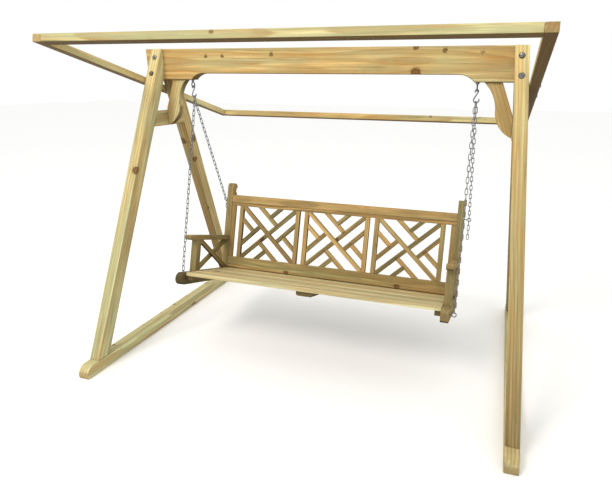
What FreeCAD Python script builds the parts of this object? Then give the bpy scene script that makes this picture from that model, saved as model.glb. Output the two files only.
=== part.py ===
import FreeCAD, Part
import math
import os
from types import SimpleNamespace
from FreeCAD import Placement, Rotation, Vector

# Garden swing: a timber A-frame with a bare canopy frame, and a lattice-backed bench that hangs
# from two eye bolts by four chains.  Millimetres, +X to the viewer's right, +Y to the back, +Z up.
# The origin is on the ground, at the middle of the plan.

SIZES = (
    # standing frame
    ("beam_top", 1900.0, "top face of the beam above the ground"),
    ("beam_depth", 182.0, "depth of the beam at its ends"),
    ("beam_thick", 70.0, "thickness of the beam"),
    ("beam_overhang", 62.0, "beam past the outer face of the left leg top, flush on the right"),
    ("arch_rise", 38.0, "height cut away from the beam's middle"),
    ("arch_short", 16.0, "ends of the cut-away in from the hooks"),
    ("arch_run", 84.0, "length of the curve at each end of the cut-away"),
    ("leg_width", 70.0, "leg across its face"),
    ("leg_depth", 82.0, "leg front to back, square to its length"),
    ("leg_out", 242.0, "outer faces of the leg tops out from the hooks"),
    ("leg_splay", 4.4, "outward slope of the legs, degrees"),
    ("leg_lean", 21.7, "slope of the legs front to back, degrees"),
    ("leg_proud", 20.0, "leg top ahead of the beam's face"),
    ("runner_height", 72.0, "height of the foot runners"),
    ("runner_width", 70.0, "width of the foot runners"),
    ("runner_toe", 93.0, "runner past the leg's face"),
    ("runner_round", 58.0, "radius of the runner's nose"),
    ("collar_drop", 375.0, "top edge of the collars below the beam's top"),
    ("collar_depth", 92.0, "depth of the collars"),
    ("collar_thick", 45.0, "thickness of the collars"),
    ("brace_thick", 45.0, "thickness of the knee braces"),
    ("brace_head", 95.0, "length of the brace's head under the beam"),
    ("brace_reach", 165.0, "brace's head from the collar, its far end"),
    ("brace_waist", 97.0, "narrow part of the ogee from the collar"),
    ("brace_lap", 92.0, "brace's foot down the collar's face"),
    ("brace_shoulder", 15.0, "brace's foot above the collar's top"),
    # canopy frame
    ("canopy_wide", 50.0, "canopy rails, width"),
    ("canopy_high", 40.0, "canopy rails, height"),
    ("canopy_length", 1695.0, "canopy side rails, length"),
    ("canopy_tilt", 15.45, "fall of the canopy to the back, degrees"),
    ("canopy_reach", 817.0, "canopy's front top edge ahead of the beam"),
    ("canopy_clear", 8.0, "canopy side rails below the beam's end, in front of it"),
    # frame bolts
    ("bolt_dia", 10.0, "leg and foot bolts"),
    ("bolt_head", 28.0, "bolt heads and washers, diameter"),
    ("bolt_sink", 36.0, "counterbores for the leg bolts, diameter"),
    ("bolt_upper", 51.0, "upper leg bolt below the beam's top"),
    ("bolt_lower", 147.0, "lower leg bolt below the beam's top"),
    ("bolt_fit", 0.3, "gap round a bolt in its hole"),
    ("nut_flats", 17.0, "nuts and bolt heads across flats"),
    ("nut_high", 8.0, "height of the nuts"),
    ("washer_thick", 2.5, "thickness of the washers"),
    ("rail_bolt_dia", 8.0, "coach screws of the canopy"),
    ("rail_bolt_flats", 13.0, "heads of the canopy screws across flats"),
    ("rail_bolt_grip", 90.0, "canopy screws through the side rails and into the legs"),
    ("bolt_tail", 4.0, "bolt ends past their nuts"),
    ("foot_bolt_grip", 70.0, "foot bolts up into the legs"),
    ("foot_sink", 16.0, "counterbore under the runners, depth"),
    # hanging gear
    ("eye_out", 25.0, "hooks and chains out from the bench's side frames"),
    ("eye_radius", 15.0, "eye under the beam, radius to the wire's middle"),
    ("eye_wire", 8.0, "wire of the eye under the beam"),
    ("eye_sink", 16.0, "counterbores for the eye bolts in the beam's top, depth"),
    ("hook_wire", 7.0, "wire of the hooks"),
    ("hook_top", 8.6, "radius of the hook's upper bow"),
    ("hook_bow", 14.0, "radius of the hook's lower bow"),
    ("hook_long", 46.0, "between the middles of the hook's bows"),
    ("hook_tip", 6.0, "straight tips of the hook"),
    ("link_pitch", 31.0, "chain links, inside length"),
    ("link_wire", 5.0, "chain links, wire"),
    ("link_wide", 20.0, "chain links, outside width"),
    ("link_corner", 6.0, "chain links, corners cut off"),
    ("link_play", 0.2, "slack between chain links"),
    ("link_gap", 0.7, "half gap between the two links on a hook"),
    ("ring_radius", 12.0, "eyes on the bench, radius to the wire's middle"),
    ("ring_wire", 6.0, "eyes on the bench, wire"),
    ("ring_grip", 38.0, "screw of the bench eyes in the wood"),
    ("seat_play", 0.3, "gap where a ring or link sits on a wire"),
    # bench, in its own frame: along the seat from its front edge, and square to the seat
    ("bench_forward", 362.0, "seat's front edge ahead of the beam, hung in balance"),
    ("bench_height", 549.5, "seat's front edge above the ground"),
    ("bench_tilt", 17.1, "fall of the seat to the back, degrees"),
    ("bench_inside", 1626.0, "bench between its side frames"),
    ("side_thick", 45.0, "side frames, thickness"),
    ("seat_depth", 485.0, "front edge of the seat to the back"),
    ("slat_count", 6.0, "seat slats"),
    ("slat_gap", 8.0, "gap between the slats"),
    ("slat_thick", 25.0, "thickness of the slats"),
    ("slat_round", 14.0, "rounding of the front slat"),
    ("side_drop", 6.0, "side rail's top below the seat"),
    ("side_high", 77.0, "depth of the side rails"),
    ("nose_reach", 7.0, "side rail ahead of the seat, before its round nose"),
    ("cleat_wide", 38.0, "cleats under the slats, width"),
    ("cleat_high", 30.0, "cleats under the slats, height"),
    ("cleat_inset", 12.0, "cleats and bearer behind the seat's front edge"),
    ("bearer_wide", 110.0, "centre bearer, width"),
    ("bearer_thick", 28.0, "centre bearer, thickness"),
    ("bearer_round", 16.0, "centre bearer, rounding of its lower edges"),
    ("post_deep", 60.0, "rear posts, front to back"),
    ("post_top", 620.0, "rear posts above the seat"),
    ("neck_high", 40.0, "hollow behind the post's head, height"),
    ("neck_deep", 17.0, "hollow behind the post's head, depth"),
    ("arm_post_set", 95.0, "arm posts behind the seat's front edge"),
    ("arm_post_deep", 45.0, "arm posts, front to back"),
    ("arm_under", 203.0, "underside of the armrests above the seat"),
    ("arm_thick", 32.0, "armrests, thickness"),
    ("arm_wide", 46.0, "armrests, width"),
    ("arm_nose", 20.0, "front of the armrests behind the seat's front edge"),
    ("arm_lip", 1.0, "armrests past the side frame's outer face"),
    ("cross_wide", 32.0, "crossed bars, width"),
    ("cross_thick", 18.0, "crossed bars, thickness"),
    ("rail_low", 83.0, "bottom rail above the seat"),
    ("rail_thick", 28.0, "bottom rail, thickness"),
    ("rail_arris", 6.0, "bottom rail, bevel along its front face just above the seat"),
    ("lattice_high", 374.0, "height of the lattice panels"),
    ("strip_high", 24.0, "head strip, height"),
    ("top_rail_high", 54.0, "top rail, height"),
    ("top_rail_deep", 45.0, "top rail, thickness"),
    ("stile_wide", 31.0, "stiles, width"),
    ("stile_thick", 22.0, "stiles, thickness"),
    ("panel_slit", 36.0, "slits between the lattice panels"),
    ("bar_wide", 29.0, "lattice bars, width"),
    ("bar_thick", 18.0, "lattice bars, thickness"),
    ("back_inset", 3.0, "lattice and head strip behind the posts' faces"),
    ("eye_seat_set", 60.0, "seat eyes behind the seat's front edge"),
    ("eye_back_high", 500.0, "back eyes above the seat"),
    ("tail_links", 4.0, "links of each free chain tail"),
)

# Lattice bars inside a panel, from one end to the other, as shares of its width and height from the
# top left corner.  One long diagonal runs corner to corner and the others butt on it or on each other.
LATTICE = (
    ((0.00, 0.00), (1.00, 1.00)),
    ((0.00, 0.72), (0.35, 0.35)), ((1.00, 0.00), (0.50, 0.50)),
    ((0.00, 1.00), (0.50, 0.50)), ((1.00, 0.28), (0.65, 0.65)),
    ((0.00, 0.26), (0.23, 0.49)), ((0.33, 0.00), (0.665, 0.335)),
    ((0.335, 0.665), (0.67, 1.00)), ((0.77, 0.51), (1.00, 0.74)),
    ((0.70, 0.00), (0.515, 0.185)), ((0.30, 1.00), (0.485, 0.815)),
)

doc = FreeCAD.newDocument("garden_swing")
sheet = doc.addObject("Spreadsheet::Sheet", "Sizes")
for row, (alias, value, note) in enumerate(SIZES, 1):
    sheet.set(f"A{row}", note)
    sheet.set(f"B{row}", str(value))
    sheet.setAlias(f"B{row}", alias)
doc.recompute()
S = SimpleNamespace(**{alias: float(sheet.get(alias)) for alias, _value, _note in SIZES})

nodes = {}
FLATS, SINK_FLATS = 6, 8      # flats in place of the round of shanks and bores, and of heads and counterbores
EYE_STEPS, BOW_STEPS = 8, 6   # chords in an eye, and in a bow of a hook
RIGHT, LEFT = 1, -1
SIDES = ((RIGHT, "right"), (LEFT, "left"))


# building blocks

def draw(sketch, path):
    """Draws a closed outline: each item is the next corner, or the middle and the end of an arc."""
    def end(item):
        return item[1] if isinstance(item[0], tuple) else item
    start = end(path[-1])
    for item in path:
        a, b = Vector(*start, 0), Vector(*end(item), 0)
        if isinstance(item[0], tuple):
            sketch.addGeometry(Part.ArcOfCircle(a, Vector(*item[0], 0), b), False)
        else:
            sketch.addGeometry(Part.LineSegment(a, b), False)
        start = end(item)


def sketch_in(body, role, path):
    """A sketch on one of the body's own origin planes."""
    sketch = body.newObject("Sketcher::SketchObject", body.Name + "_outline")
    plane = [f for f in body.Origin.OriginFeatures if f.Role == role][0]
    sketch.AttachmentSupport = [(plane, "")]
    sketch.MapMode = "FlatFace"
    draw(sketch, path)
    return sketch


def board(name, role, path, thick, place):
    """A board of one outline, padded to both sides of its plane."""
    body = doc.addObject("PartDesign::Body", name)
    pad = body.newObject("PartDesign::Pad", name + "_pad")
    pad.Profile = sketch_in(body, role, path)
    pad.SideType = "Symmetric"
    if isinstance(thick, str):
        pad.setExpression("Length", "Sizes." + thick)
    else:
        pad.Length = thick
    body.Placement = place
    return body


def prism(name, sides, radius, length, place):
    """A straight bar of a regular section along local Z, its corners at the radius."""
    bar = doc.addObject("Part::Prism", name)
    bar.Polygon = sides
    bar.Circumradius = radius
    bar.Height = length
    bar.Placement = place
    return bar


def rod(name, dia, length, place):
    """A bolt's shank, in few flats, along local Z."""
    return prism(name, FLATS, dia / 2, length, place)


def bore(name, dia, length, place, flats=FLATS):
    """The tool of a hole that clears a bar of the diameter and the same flats, along local Z."""
    return prism(name, flats, dia / 2 + S.bolt_fit / math.cos(math.pi / flats), length, place)


def wire_shape(points, thick, closed):
    """Bent wire of a six-sided section along points (x, z) of the XZ plane, mitred at each bend."""
    points = [Vector(x, 0, z) for x, z in points]
    count, across = len(points), Vector(0, 1, 0)
    rings = []
    for i, point in enumerate(points):
        before = (point - points[i - 1]).normalize() if closed or i else None
        after = (points[(i + 1) % count] - point).normalize() if closed or i < count - 1 else None
        way = ((before or after) + (after or before)).normalize()
        stretch = 1 / way.dot(after or before)
        side = across.cross(way) * stretch
        rings.append([point + side * (thick / 2 * math.cos(math.radians(60 * k)))
                      + across * (thick / 2 * math.sin(math.radians(60 * k))) for k in range(6)])
    faces = []
    for a, b in zip(rings, rings[1:] + (rings[:1] if closed else [])):
        faces += [Part.Face(Part.makePolygon([a[k - 1], a[k], b[k], b[k - 1], a[k - 1]])) for k in range(6)]
    if not closed:
        faces += [Part.Face(Part.makePolygon(ring + ring[:1])) for ring in (rings[0], rings[-1])]
    solid = Part.Solid(Part.Shell(faces))
    if solid.Volume < 0:
        solid.reverse()
    return solid


def bend(centre, radius, start, stop, steps):
    """Corners of a bow (x, z) between two angles, drawn in chords whose middles lie on the radius."""
    step = math.radians(stop - start) / steps
    reach = radius / math.cos(step / 2)
    angles = [math.radians(start) + step * (i + 0.5) for i in range(steps)]
    return [(centre[0] + reach * math.cos(a), centre[1] + reach * math.sin(a)) for a in angles]


def eye(name, radius, thick, ring_place, shank):
    """A closed eye about the origin of its place, fused to its shank."""
    ring = doc.addObject("Part::Feature", name + "_ring")
    ring.Shape = wire_shape(bend((0, 0), radius, 0, 360, EYE_STEPS), thick, True)
    ring.Placement = ring_place
    whole = doc.addObject("Part::Fuse", name)
    whole.Base, whole.Tool = ring, shank
    return whole


def less(name, base, tools):
    """The base with the tools cut out of it."""
    cut = doc.addObject("Part::Cut", name)
    cut.Base = base
    if len(tools) == 1:
        cut.Tool = tools[0]
    else:
        cut.Tool = doc.addObject("Part::MultiFuse", name + "_tools")
        cut.Tool.Shapes = tools
    return cut


def group(name, pieces):
    """Identical pieces in one node."""
    compound = doc.addObject("Part::Compound", name)
    compound.Links = pieces
    return node(name, compound)


def node(name, piece):
    piece.Label = name
    nodes[name] = piece
    return piece


def nut(name, dia, flats, place):
    """A hexagon nut whose bearing face is at local z = 0."""
    body = prism(name + "_hex", 6, flats / math.sqrt(3.0), S.nut_high, Placement())
    body.setExpression("Height", "Sizes.nut_high")
    whole = less(name, body, [bore(name + "_bore", dia, 3 * S.nut_high,
                                   Placement(Vector(0, 0, -S.nut_high), Rotation()))])
    whole.Placement = place
    return whole


def washer(name, dia, outer, place):
    """A flat washer whose lower face is at local z = 0."""
    disc = prism(name + "_disc", SINK_FLATS, outer / 2, S.washer_thick, Placement())
    disc.setExpression("Height", "Sizes.washer_thick")
    whole = less(name, disc, [bore(name + "_bore", dia, 3 * S.washer_thick,
                                   Placement(Vector(0, 0, -S.washer_thick), Rotation()))])
    whole.Placement = place
    return whole


def dome_bolt(name, dia, head, length, place):
    """A bolt with a domed head below local z = 0 and its shank along +Z."""
    rings = []
    for i, (share, rise) in enumerate(((1.0, 0.0), (0.75, 0.32), (0.35, 0.5))):
        ring = doc.addObject("Part::RegularPolygon", f"{name}_ring_{i}")
        ring.Polygon = SINK_FLATS
        ring.Circumradius = share * head / 2
        ring.Placement = Placement(Vector(0, 0, -rise * head / 2), Rotation())
        rings.append(ring)
    dome = doc.addObject("Part::Loft", name + "_dome")
    dome.Sections, dome.Solid, dome.Ruled = rings, True, True
    whole = doc.addObject("Part::Fuse", name)
    whole.Base, whole.Tool = dome, rod(name + "_shank", dia, length, Placement())
    whole.Placement = place
    return whole


def hex_bolt(name, dia, flats, length, place):
    """A bolt with a hexagon head below local z = 0 and its shank along +Z."""
    high = S.nut_high * 0.8
    whole = doc.addObject("Part::Fuse", name)
    whole.Base = prism(name + "_head", 6, flats / math.sqrt(3.0), high,
                       Placement(Vector(0, 0, -high), Rotation()))
    whole.Tool = rod(name + "_shank", dia, length, Placement())
    whole.Placement = place
    return whole


ALONG_Y = Rotation(Vector(1, 0, 0), -90)      # local Z to +Y
BACK_Y = Rotation(Vector(1, 0, 0), 90)        # local Z to -Y
ALONG_X = Rotation(Vector(0, 1, 0), 90)       # local Z to +X
BACK_X = Rotation(Vector(0, 1, 0), -90)       # local Z to -X


# set-out of the frame, y from the beam's middle plane

lean, splay = math.tan(math.radians(S.leg_lean)), math.tan(math.radians(S.leg_splay))
tilt = math.radians(S.canopy_tilt)
side_outer = S.bench_inside / 2 + S.side_thick
hook_spread = side_outer + S.eye_out
arch_half = hook_spread - S.arch_short
leg_spread = hook_spread + S.leg_out
beam_bottom = S.beam_top - S.beam_depth
eye_top = S.beam_top - S.eye_sink
beam_face = S.beam_thick / 2
canopy_front = beam_bottom - S.canopy_clear + (S.canopy_reach - beam_face) * math.tan(tilt)
leg_run = S.leg_depth / math.cos(math.radians(S.leg_lean))


def leg_face(z):
    """Distance of a leg's outer-facing (front or back) face from the beam's middle plane."""
    return beam_face + S.leg_proud + (S.beam_top - z) * lean


def leg_outer(z):
    """Distance of a leg's outer side from the middle of the swing."""
    return leg_spread + (S.beam_top - z) * splay


runner_half = leg_face(S.runner_height) + S.runner_toe
canopy_min = -S.canopy_reach - S.canopy_high * math.sin(tilt)
canopy_max = -S.canopy_reach + S.canopy_length * math.cos(tilt)
beam_y = -(min(canopy_min, -runner_half) + max(canopy_max, runner_half)) / 2


def at(x, y, z, rotation=Rotation()):
    """A place set out from the beam's middle plane."""
    return Placement(Vector(x, beam_y + y, z), rotation)


def rail_crossing(front, rail_share, leg_share):
    """Where a canopy side rail, at a share of its height, crosses a leg at a share of its depth."""
    fall = math.tan(tilt)
    a = canopy_front - rail_share * S.canopy_high / math.cos(tilt)
    b = -(beam_face + S.leg_proud) - S.beam_top * lean + leg_share * leg_run
    s = 1 if front else -1
    z = (a - (s * b + S.canopy_reach) * fall) / (1 + s * lean * fall)
    return s * (b + lean * z), z


# top beam

beam_left, beam_right = -leg_spread - S.beam_overhang, leg_spread
bow = (S.arch_run ** 2 + S.arch_rise ** 2) / (2 * S.arch_rise)
half_turn = math.atan2(S.arch_rise, S.arch_run)
crown = (arch_half - S.arch_run, beam_bottom + S.arch_rise)
haunch = (crown[0] + bow * math.sin(half_turn), crown[1] - bow * (1 - math.cos(half_turn)))


def mirrored(p):
    return (-p[0], p[1])


beam_path = [
    (beam_left, S.beam_top), (beam_left, beam_bottom), (-arch_half, beam_bottom),
    (mirrored(haunch), mirrored(crown)), crown, (haunch, (arch_half, beam_bottom)),
    (beam_right, beam_bottom), (beam_right, S.beam_top),
]
beam_board = board("beam_board", "XZ_Plane", beam_path, "beam_thick", at(0, 0, 0))

bolt_levels = (("upper", S.beam_top - S.bolt_upper), ("lower", S.beam_top - S.bolt_lower))
long_hole = 4 * leg_face(beam_bottom)
beam_holes = []
for side, word in SIDES:
    for level, z in bolt_levels:
        x = side * (leg_outer(z) - S.leg_width / 2)
        beam_holes.append(bore(f"beam_{level}_hole_{word}", S.bolt_dia, long_hole,
                               at(x, -long_hole / 2, z, ALONG_Y)))
    beam_holes.append(bore(f"beam_eye_hole_{word}", S.bolt_dia, 2 * S.beam_depth,
                           at(side * hook_spread, 0, beam_bottom - S.beam_depth / 2)))
    beam_holes.append(bore(f"beam_eye_sink_{word}", S.bolt_sink, 2 * S.eye_sink,
                           at(side * hook_spread, 0, eye_top), SINK_FLATS))
node("top_beam", less("top_beam", beam_board, beam_holes))


# canopy frame

rail_inner = leg_outer(rail_crossing(True, 1.0, 1.0)[1])
canopy_place = at(0, -S.canopy_reach, canopy_front, Rotation(Vector(1, 0, 0), -S.canopy_tilt))


def in_canopy(x):
    return canopy_place.multiply(Placement(Vector(x, 0, 0), Rotation()))


def slab(y0, y1, z0, z1):
    return [(y0, z0), (y1, z0), (y1, z1), (y0, z1)]


side_rails, rail_bolts = {}, []
for side, word in SIDES:
    outer = board(f"canopy_{word}_board", "YZ_Plane", slab(0, S.canopy_length, -S.canopy_high, 0),
                  "canopy_wide", in_canopy(side * (rail_inner + S.canopy_wide / 2)))
    side_rails[side] = outer
    holes = []
    inward = BACK_X if side == RIGHT else ALONG_X
    for front, end in ((True, "front"), (False, "back")):
        y, z = rail_crossing(front, 0.5, 0.5)
        outside = rail_inner + S.canopy_wide
        holes.append(bore(f"canopy_{end}_hole_{word}", S.rail_bolt_dia, 4 * S.leg_width,
                          at(side * (outside + S.leg_width), y, z, inward)))
        rail_bolts.append(hex_bolt(f"canopy_screw_{end}_{word}", S.rail_bolt_dia, S.rail_bolt_flats,
                                   S.rail_bolt_grip, at(side * outside, y, z, inward)))
    node(f"canopy_{word}_rail", less(f"canopy_{word}_rail", outer, holes))
for word, start in (("front", 0.0), ("back", S.canopy_length - S.canopy_wide)):
    node(f"canopy_{word}_rail", board(f"canopy_{word}_rail", "YZ_Plane",
                                      slab(start, start + S.canopy_wide, -S.canopy_high, 0),
                                      2 * rail_inner, in_canopy(0)))
group("canopy_screws", rail_bolts)


# legs, with the bolts that hold them to the beam

top_run = (leg_run - S.leg_proud) / lean
upright = math.cos(math.radians(S.leg_splay))
upper_bolts, lower_bolts, leg_washers, leg_nuts, foot_bolts = [], [], [], [], []
for side, word in SIDES:
    for front, end in ((True, "front"), (False, "rear")):
        out = -1 if front else 1
        name = f"{word}_{end}_leg"
        corners = [(leg_face(S.beam_top), S.beam_top), (beam_face, S.beam_top),
                   (beam_face, S.beam_top - top_run),
                   (leg_face(S.runner_height) - leg_run, S.runner_height),
                   (leg_face(S.runner_height), S.runner_height)]
        outline = doc.addObject("Sketcher::SketchObject", name + "_outline")
        draw(outline, [(out * y, (z - S.beam_top) / upright) for y, z in corners])
        outline.Placement = at(side * leg_spread, 0, S.beam_top,
                               Rotation(Vector(0, 1, 0), -side * S.leg_splay)
                               .multiply(Rotation(Vector(1, 1, 1), 120)))
        stick = doc.addObject("Part::Extrusion", name + "_stick")
        stick.Base = outline
        stick.DirMode = "Custom"
        stick.Dir = Vector(-side, 0, 0)
        stick.setExpression("LengthFwd", "Sizes.leg_width")
        stick.Solid = True
        holes = []
        toward = ALONG_Y if front else BACK_Y
        for level, z in bolt_levels:
            x = side * (leg_outer(z) - S.leg_width / 2)
            seat = out * leg_face(z + S.bolt_sink / 2)
            outward = BACK_Y if front else ALONG_Y
            holes.append(bore(f"{name}_{level}_hole", S.bolt_dia, abs(seat), at(x, seat, z, toward)))
            holes.append(bore(f"{name}_{level}_sink", S.bolt_sink, S.bolt_sink,
                              at(x, seat, z, outward), SINK_FLATS))
            lower = level == "lower"
            if front:
                shank = 2 * abs(seat) + S.washer_thick + S.nut_high + S.bolt_tail
                if lower:
                    leg_washers.append(washer(f"{name}_washer", S.bolt_dia, S.bolt_head,
                                              at(x, seat, z, outward)))
                    lower_bolts.append(hex_bolt(f"{name}_lower_bolt", S.bolt_dia, S.nut_flats,
                                                shank + S.washer_thick,
                                                at(x, seat - S.washer_thick, z, toward)))
                else:
                    upper_bolts.append(dome_bolt(f"{name}_upper_bolt", S.bolt_dia, S.bolt_head, shank,
                                                 at(x, seat, z, toward)))
            else:
                leg_washers.append(washer(f"{name}_{level}_washer", S.bolt_dia, S.bolt_head,
                                          at(x, seat, z, outward)))
                leg_nuts.append(nut(f"{name}_{level}_nut", S.bolt_dia, S.nut_flats,
                                    at(x, seat + S.washer_thick, z, outward)))
        # canopy rail: its screw, and the housing that lets the rail lie flat
        y, z = rail_crossing(front, 0.5, 0.5)
        inward = BACK_X if side == RIGHT else ALONG_X
        holes.append(bore(f"{name}_rail_hole", S.rail_bolt_dia, S.rail_bolt_grip + S.bolt_fit,
                          at(side * (rail_inner + S.canopy_wide), y, z, inward)))
        holes.append(side_rails[side])
        # foot bolt, up through the runner
        x = side * (leg_outer(S.runner_height) - S.leg_width / 2)
        foot = out * (leg_face(S.runner_height) - leg_run / 2)
        holes.append(bore(f"{name}_foot_hole", S.bolt_dia, S.foot_bolt_grip + S.bolt_fit,
                          at(x, foot, S.runner_height)))
        foot_bolts.append(hex_bolt(f"{name}_foot_bolt", S.bolt_dia, S.nut_flats,
                                   S.runner_height - S.foot_sink + S.foot_bolt_grip,
                                   at(x, foot, S.foot_sink)))
        node(name, less(name, stick, holes))
group("upper_leg_bolts", upper_bolts)
group("lower_leg_bolts", lower_bolts)
group("leg_bolt_washers", leg_washers)
group("leg_bolt_nuts", leg_nuts)
group("foot_bolts", foot_bolts)


# foot runners, collars and knee braces

diagonal = S.runner_round * (1 - math.sqrt(0.5))
collar_top = S.beam_top - S.collar_drop
collar_low = collar_top - S.collar_depth
collar_inner = leg_outer(collar_top) - S.leg_width
for side, word in SIDES:
    nose, top = runner_half - S.runner_round, S.runner_height - S.runner_round
    path = [(-runner_half, 0), (runner_half, 0), (runner_half, top),
            ((runner_half - diagonal, S.runner_height - diagonal), (nose, S.runner_height)),
            (-nose, S.runner_height),
            ((-runner_half + diagonal, S.runner_height - diagonal), (-runner_half, top))]
    x = side * (leg_outer(S.runner_height) - S.leg_width / 2)
    stick = board(f"{word}_runner_board", "YZ_Plane", path, "runner_width", at(x, 0, 0))
    holes = []
    for out, end in ((-1, "front"), (1, "rear")):
        foot = out * (leg_face(S.runner_height) - leg_run / 2)
        holes.append(bore(f"{word}_runner_{end}_hole", S.bolt_dia, 2 * S.runner_height,
                          at(x, foot, -S.runner_height / 2)))
        holes.append(bore(f"{word}_runner_{end}_sink", S.bolt_sink, 2 * S.foot_sink,
                          at(x, foot, -S.foot_sink)))
    node(f"{word}_foot_runner", less(f"{word}_foot_runner", stick, holes))

    low_y, top_y = leg_face(collar_low) - leg_run, leg_face(collar_top) - leg_run
    node(f"{word}_collar", board(f"{word}_collar", "YZ_Plane",
                                 [(-low_y, collar_low), (low_y, collar_low), (top_y, collar_top),
                                  (-top_y, collar_top)],
                                 "collar_thick", at(side * (collar_inner + S.collar_thick / 2), 0, 0)))

    head = collar_inner - S.brace_reach
    foot_top, foot_low = collar_top + S.brace_shoulder, collar_top - S.brace_lap
    waist = (collar_inner - S.brace_waist, (beam_bottom + foot_low) / 2)
    upper = (waist[0] - 0.30 * (waist[0] - head), waist[1] + 0.56 * (beam_bottom - waist[1]))
    lower = (waist[0] + 0.24 * S.brace_waist, waist[1] - 0.57 * (waist[1] - foot_low))
    path = [(head, beam_bottom), (upper, waist), (lower, (collar_inner, foot_low)), (collar_inner, foot_top),
            (head + S.brace_head, beam_bottom)]
    if side == LEFT:
        path = [(mirrored(p[0]), mirrored(p[1])) if isinstance(p[0], tuple) else mirrored(p) for p in path]
    node(f"{word}_knee_brace", board(f"{word}_knee_brace", "XZ_Plane", path, "brace_thick", at(0, 0, 0)))


# eye bolts under the beam and the hooks in them

eye_z = beam_bottom - S.washer_thick - S.nut_high - S.eye_radius - S.eye_wire / 2
bow_top = eye_z - S.eye_radius + S.eye_wire / 2 + S.seat_play - S.hook_top + S.hook_wire / 2
bow_low = bow_top - S.hook_long
slant = math.degrees(math.asin((S.hook_top + S.hook_bow) / S.hook_long))
flip = Rotation(Vector(1, 0, 0), 180)
beam_nuts, beam_washers = [], []
for side, word in SIDES:
    x = side * hook_spread
    shank = rod(f"{word}_eye_shank", S.bolt_dia, eye_top + S.washer_thick + S.nut_high + S.bolt_tail
                - eye_z - S.eye_radius, at(x, 0, eye_z + S.eye_radius))
    node(f"{word}_eye_bolt", eye(f"{word}_eye_bolt", S.eye_radius, S.eye_wire,
                                 at(x, 0, eye_z, Rotation(Vector(0, 0, 1), 90)), shank))
    beam_washers += [washer(f"{word}_eye_washer_top", S.bolt_dia, S.bolt_head, at(x, 0, eye_top)),
                     washer(f"{word}_eye_washer_low", S.bolt_dia, S.bolt_head, at(x, 0, beam_bottom, flip))]
    beam_nuts += [nut(f"{word}_eye_nut_top", S.bolt_dia, S.nut_flats, at(x, 0, eye_top + S.washer_thick)),
                  nut(f"{word}_eye_nut_low", S.bolt_dia, S.nut_flats,
                      at(x, 0, beam_bottom - S.washer_thick, flip))]

    # an S of wire: a small bow over the eye, and a wide one that holds the two chains
    spine = ([(-S.hook_top, bow_top - S.hook_tip)]
             + bend((0, bow_top), S.hook_top, 180, -slant, BOW_STEPS)
             + bend((0, bow_low), S.hook_bow, 180 - slant, 360, BOW_STEPS)
             + [(S.hook_bow, bow_low + S.hook_tip)])
    hook = doc.addObject("Part::Feature", f"{word}_hook")
    hook.Shape = wire_shape(spine, S.hook_wire, False)
    hook.Placement = at(x, 0, 0)
    node(f"{word}_hook", hook)
group("eye_bolt_washers", beam_washers)
group("eye_bolt_nuts", beam_nuts)


# bench

bench_place = at(0, -S.bench_forward, S.bench_height, Rotation(Vector(1, 0, 0), -S.bench_tilt))
side_middle = (S.bench_inside + S.side_thick) / 2
side_top, side_low = -S.side_drop, -S.side_drop - S.side_high
back = S.seat_depth


def in_bench(x, y=0.0, z=0.0, rotation=Rotation()):
    return bench_place.multiply(Placement(Vector(x, y, z), rotation))


eye_places = {"seat": (S.eye_seat_set, (side_top + side_low) / 2),
              "back": (back + S.post_deep / 2, S.eye_back_high)}


def screw_bore(side, name, where):
    """The pilot hole of a bench eye, in from the side frame's outer face."""
    y, z = eye_places[where]
    return bore(f"{name}_bore", S.ring_wire, S.ring_grip + S.bolt_fit,
                in_bench(side * side_outer, y, z, BACK_X if side == RIGHT else ALONG_X))


for side, word in SIDES:
    x = side * side_middle
    head = S.post_deep / 2
    neck_top = S.post_top - head
    path = [(back, side_low), (back + S.post_deep, side_low), (back + S.post_deep, neck_top - S.neck_high),
            ((back + S.post_deep - S.neck_deep, neck_top - S.neck_high / 2), (back + S.post_deep, neck_top)),
            ((back + head, S.post_top), (back, neck_top))]
    name = f"{word}_rear_post"
    post = board(name + "_board", "YZ_Plane", path, "side_thick", in_bench(x))
    node(name, less(name, post, [screw_bore(side, name, "back")]))

    name = f"{word}_seat_rail"
    centre = (side_top + side_low) / 2
    path = [(back, side_low), (back, side_top), (-S.nose_reach, side_top),
            ((-S.nose_reach - S.side_high / 2, centre), (-S.nose_reach, side_low))]
    rail = board(name + "_board", "YZ_Plane", path, "side_thick", in_bench(x))
    node(name, less(name, rail, [screw_bore(side, name, "seat")]))

    arm_back = S.arm_post_set + S.arm_post_deep
    node(f"{word}_arm_post", board(f"{word}_arm_post", "YZ_Plane",
                                   slab(S.arm_post_set, arm_back, side_top, S.arm_under), "side_thick",
                                   in_bench(x)))
    lip, half = S.arm_under + S.arm_thick, S.arm_thick / 2
    path = [(back, S.arm_under), (back, lip), (S.arm_nose + half, lip),
            ((S.arm_nose, S.arm_under + half), (S.arm_nose + half, S.arm_under))]
    node(f"{word}_armrest", board(f"{word}_armrest", "YZ_Plane", path, "arm_wide",
                                  in_bench(side * (side_outer + S.arm_lip - S.arm_wide / 2))))

    # two bars cross under the armrest, side by side, from corner to corner of the opening
    rise = math.atan2(S.arm_under - side_top, back - arm_back)
    foot, cheek = S.cross_wide / 2 / math.sin(rise), S.cross_wide / 2 / math.cos(rise)
    y0, y1, z0, z1 = arm_back, back, side_top, S.arm_under
    rising = [(y0, z0), (y0 + foot, z0), (y1, z1 - cheek), (y1, z1), (y1 - foot, z1), (y0, z0 + cheek)]
    falling = [(y0, z1), (y0 + foot, z1), (y1, z0 + cheek), (y1, z0), (y1 - foot, z0), (y0, z1 - cheek)]
    for way, path, layer in (("rising", rising, 0.5), ("falling", falling, -0.5)):
        name = f"{word}_{way}_cross_bar"
        node(name, board(name, "YZ_Plane", path, "cross_thick", in_bench(x + side * layer * S.cross_thick)))

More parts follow.
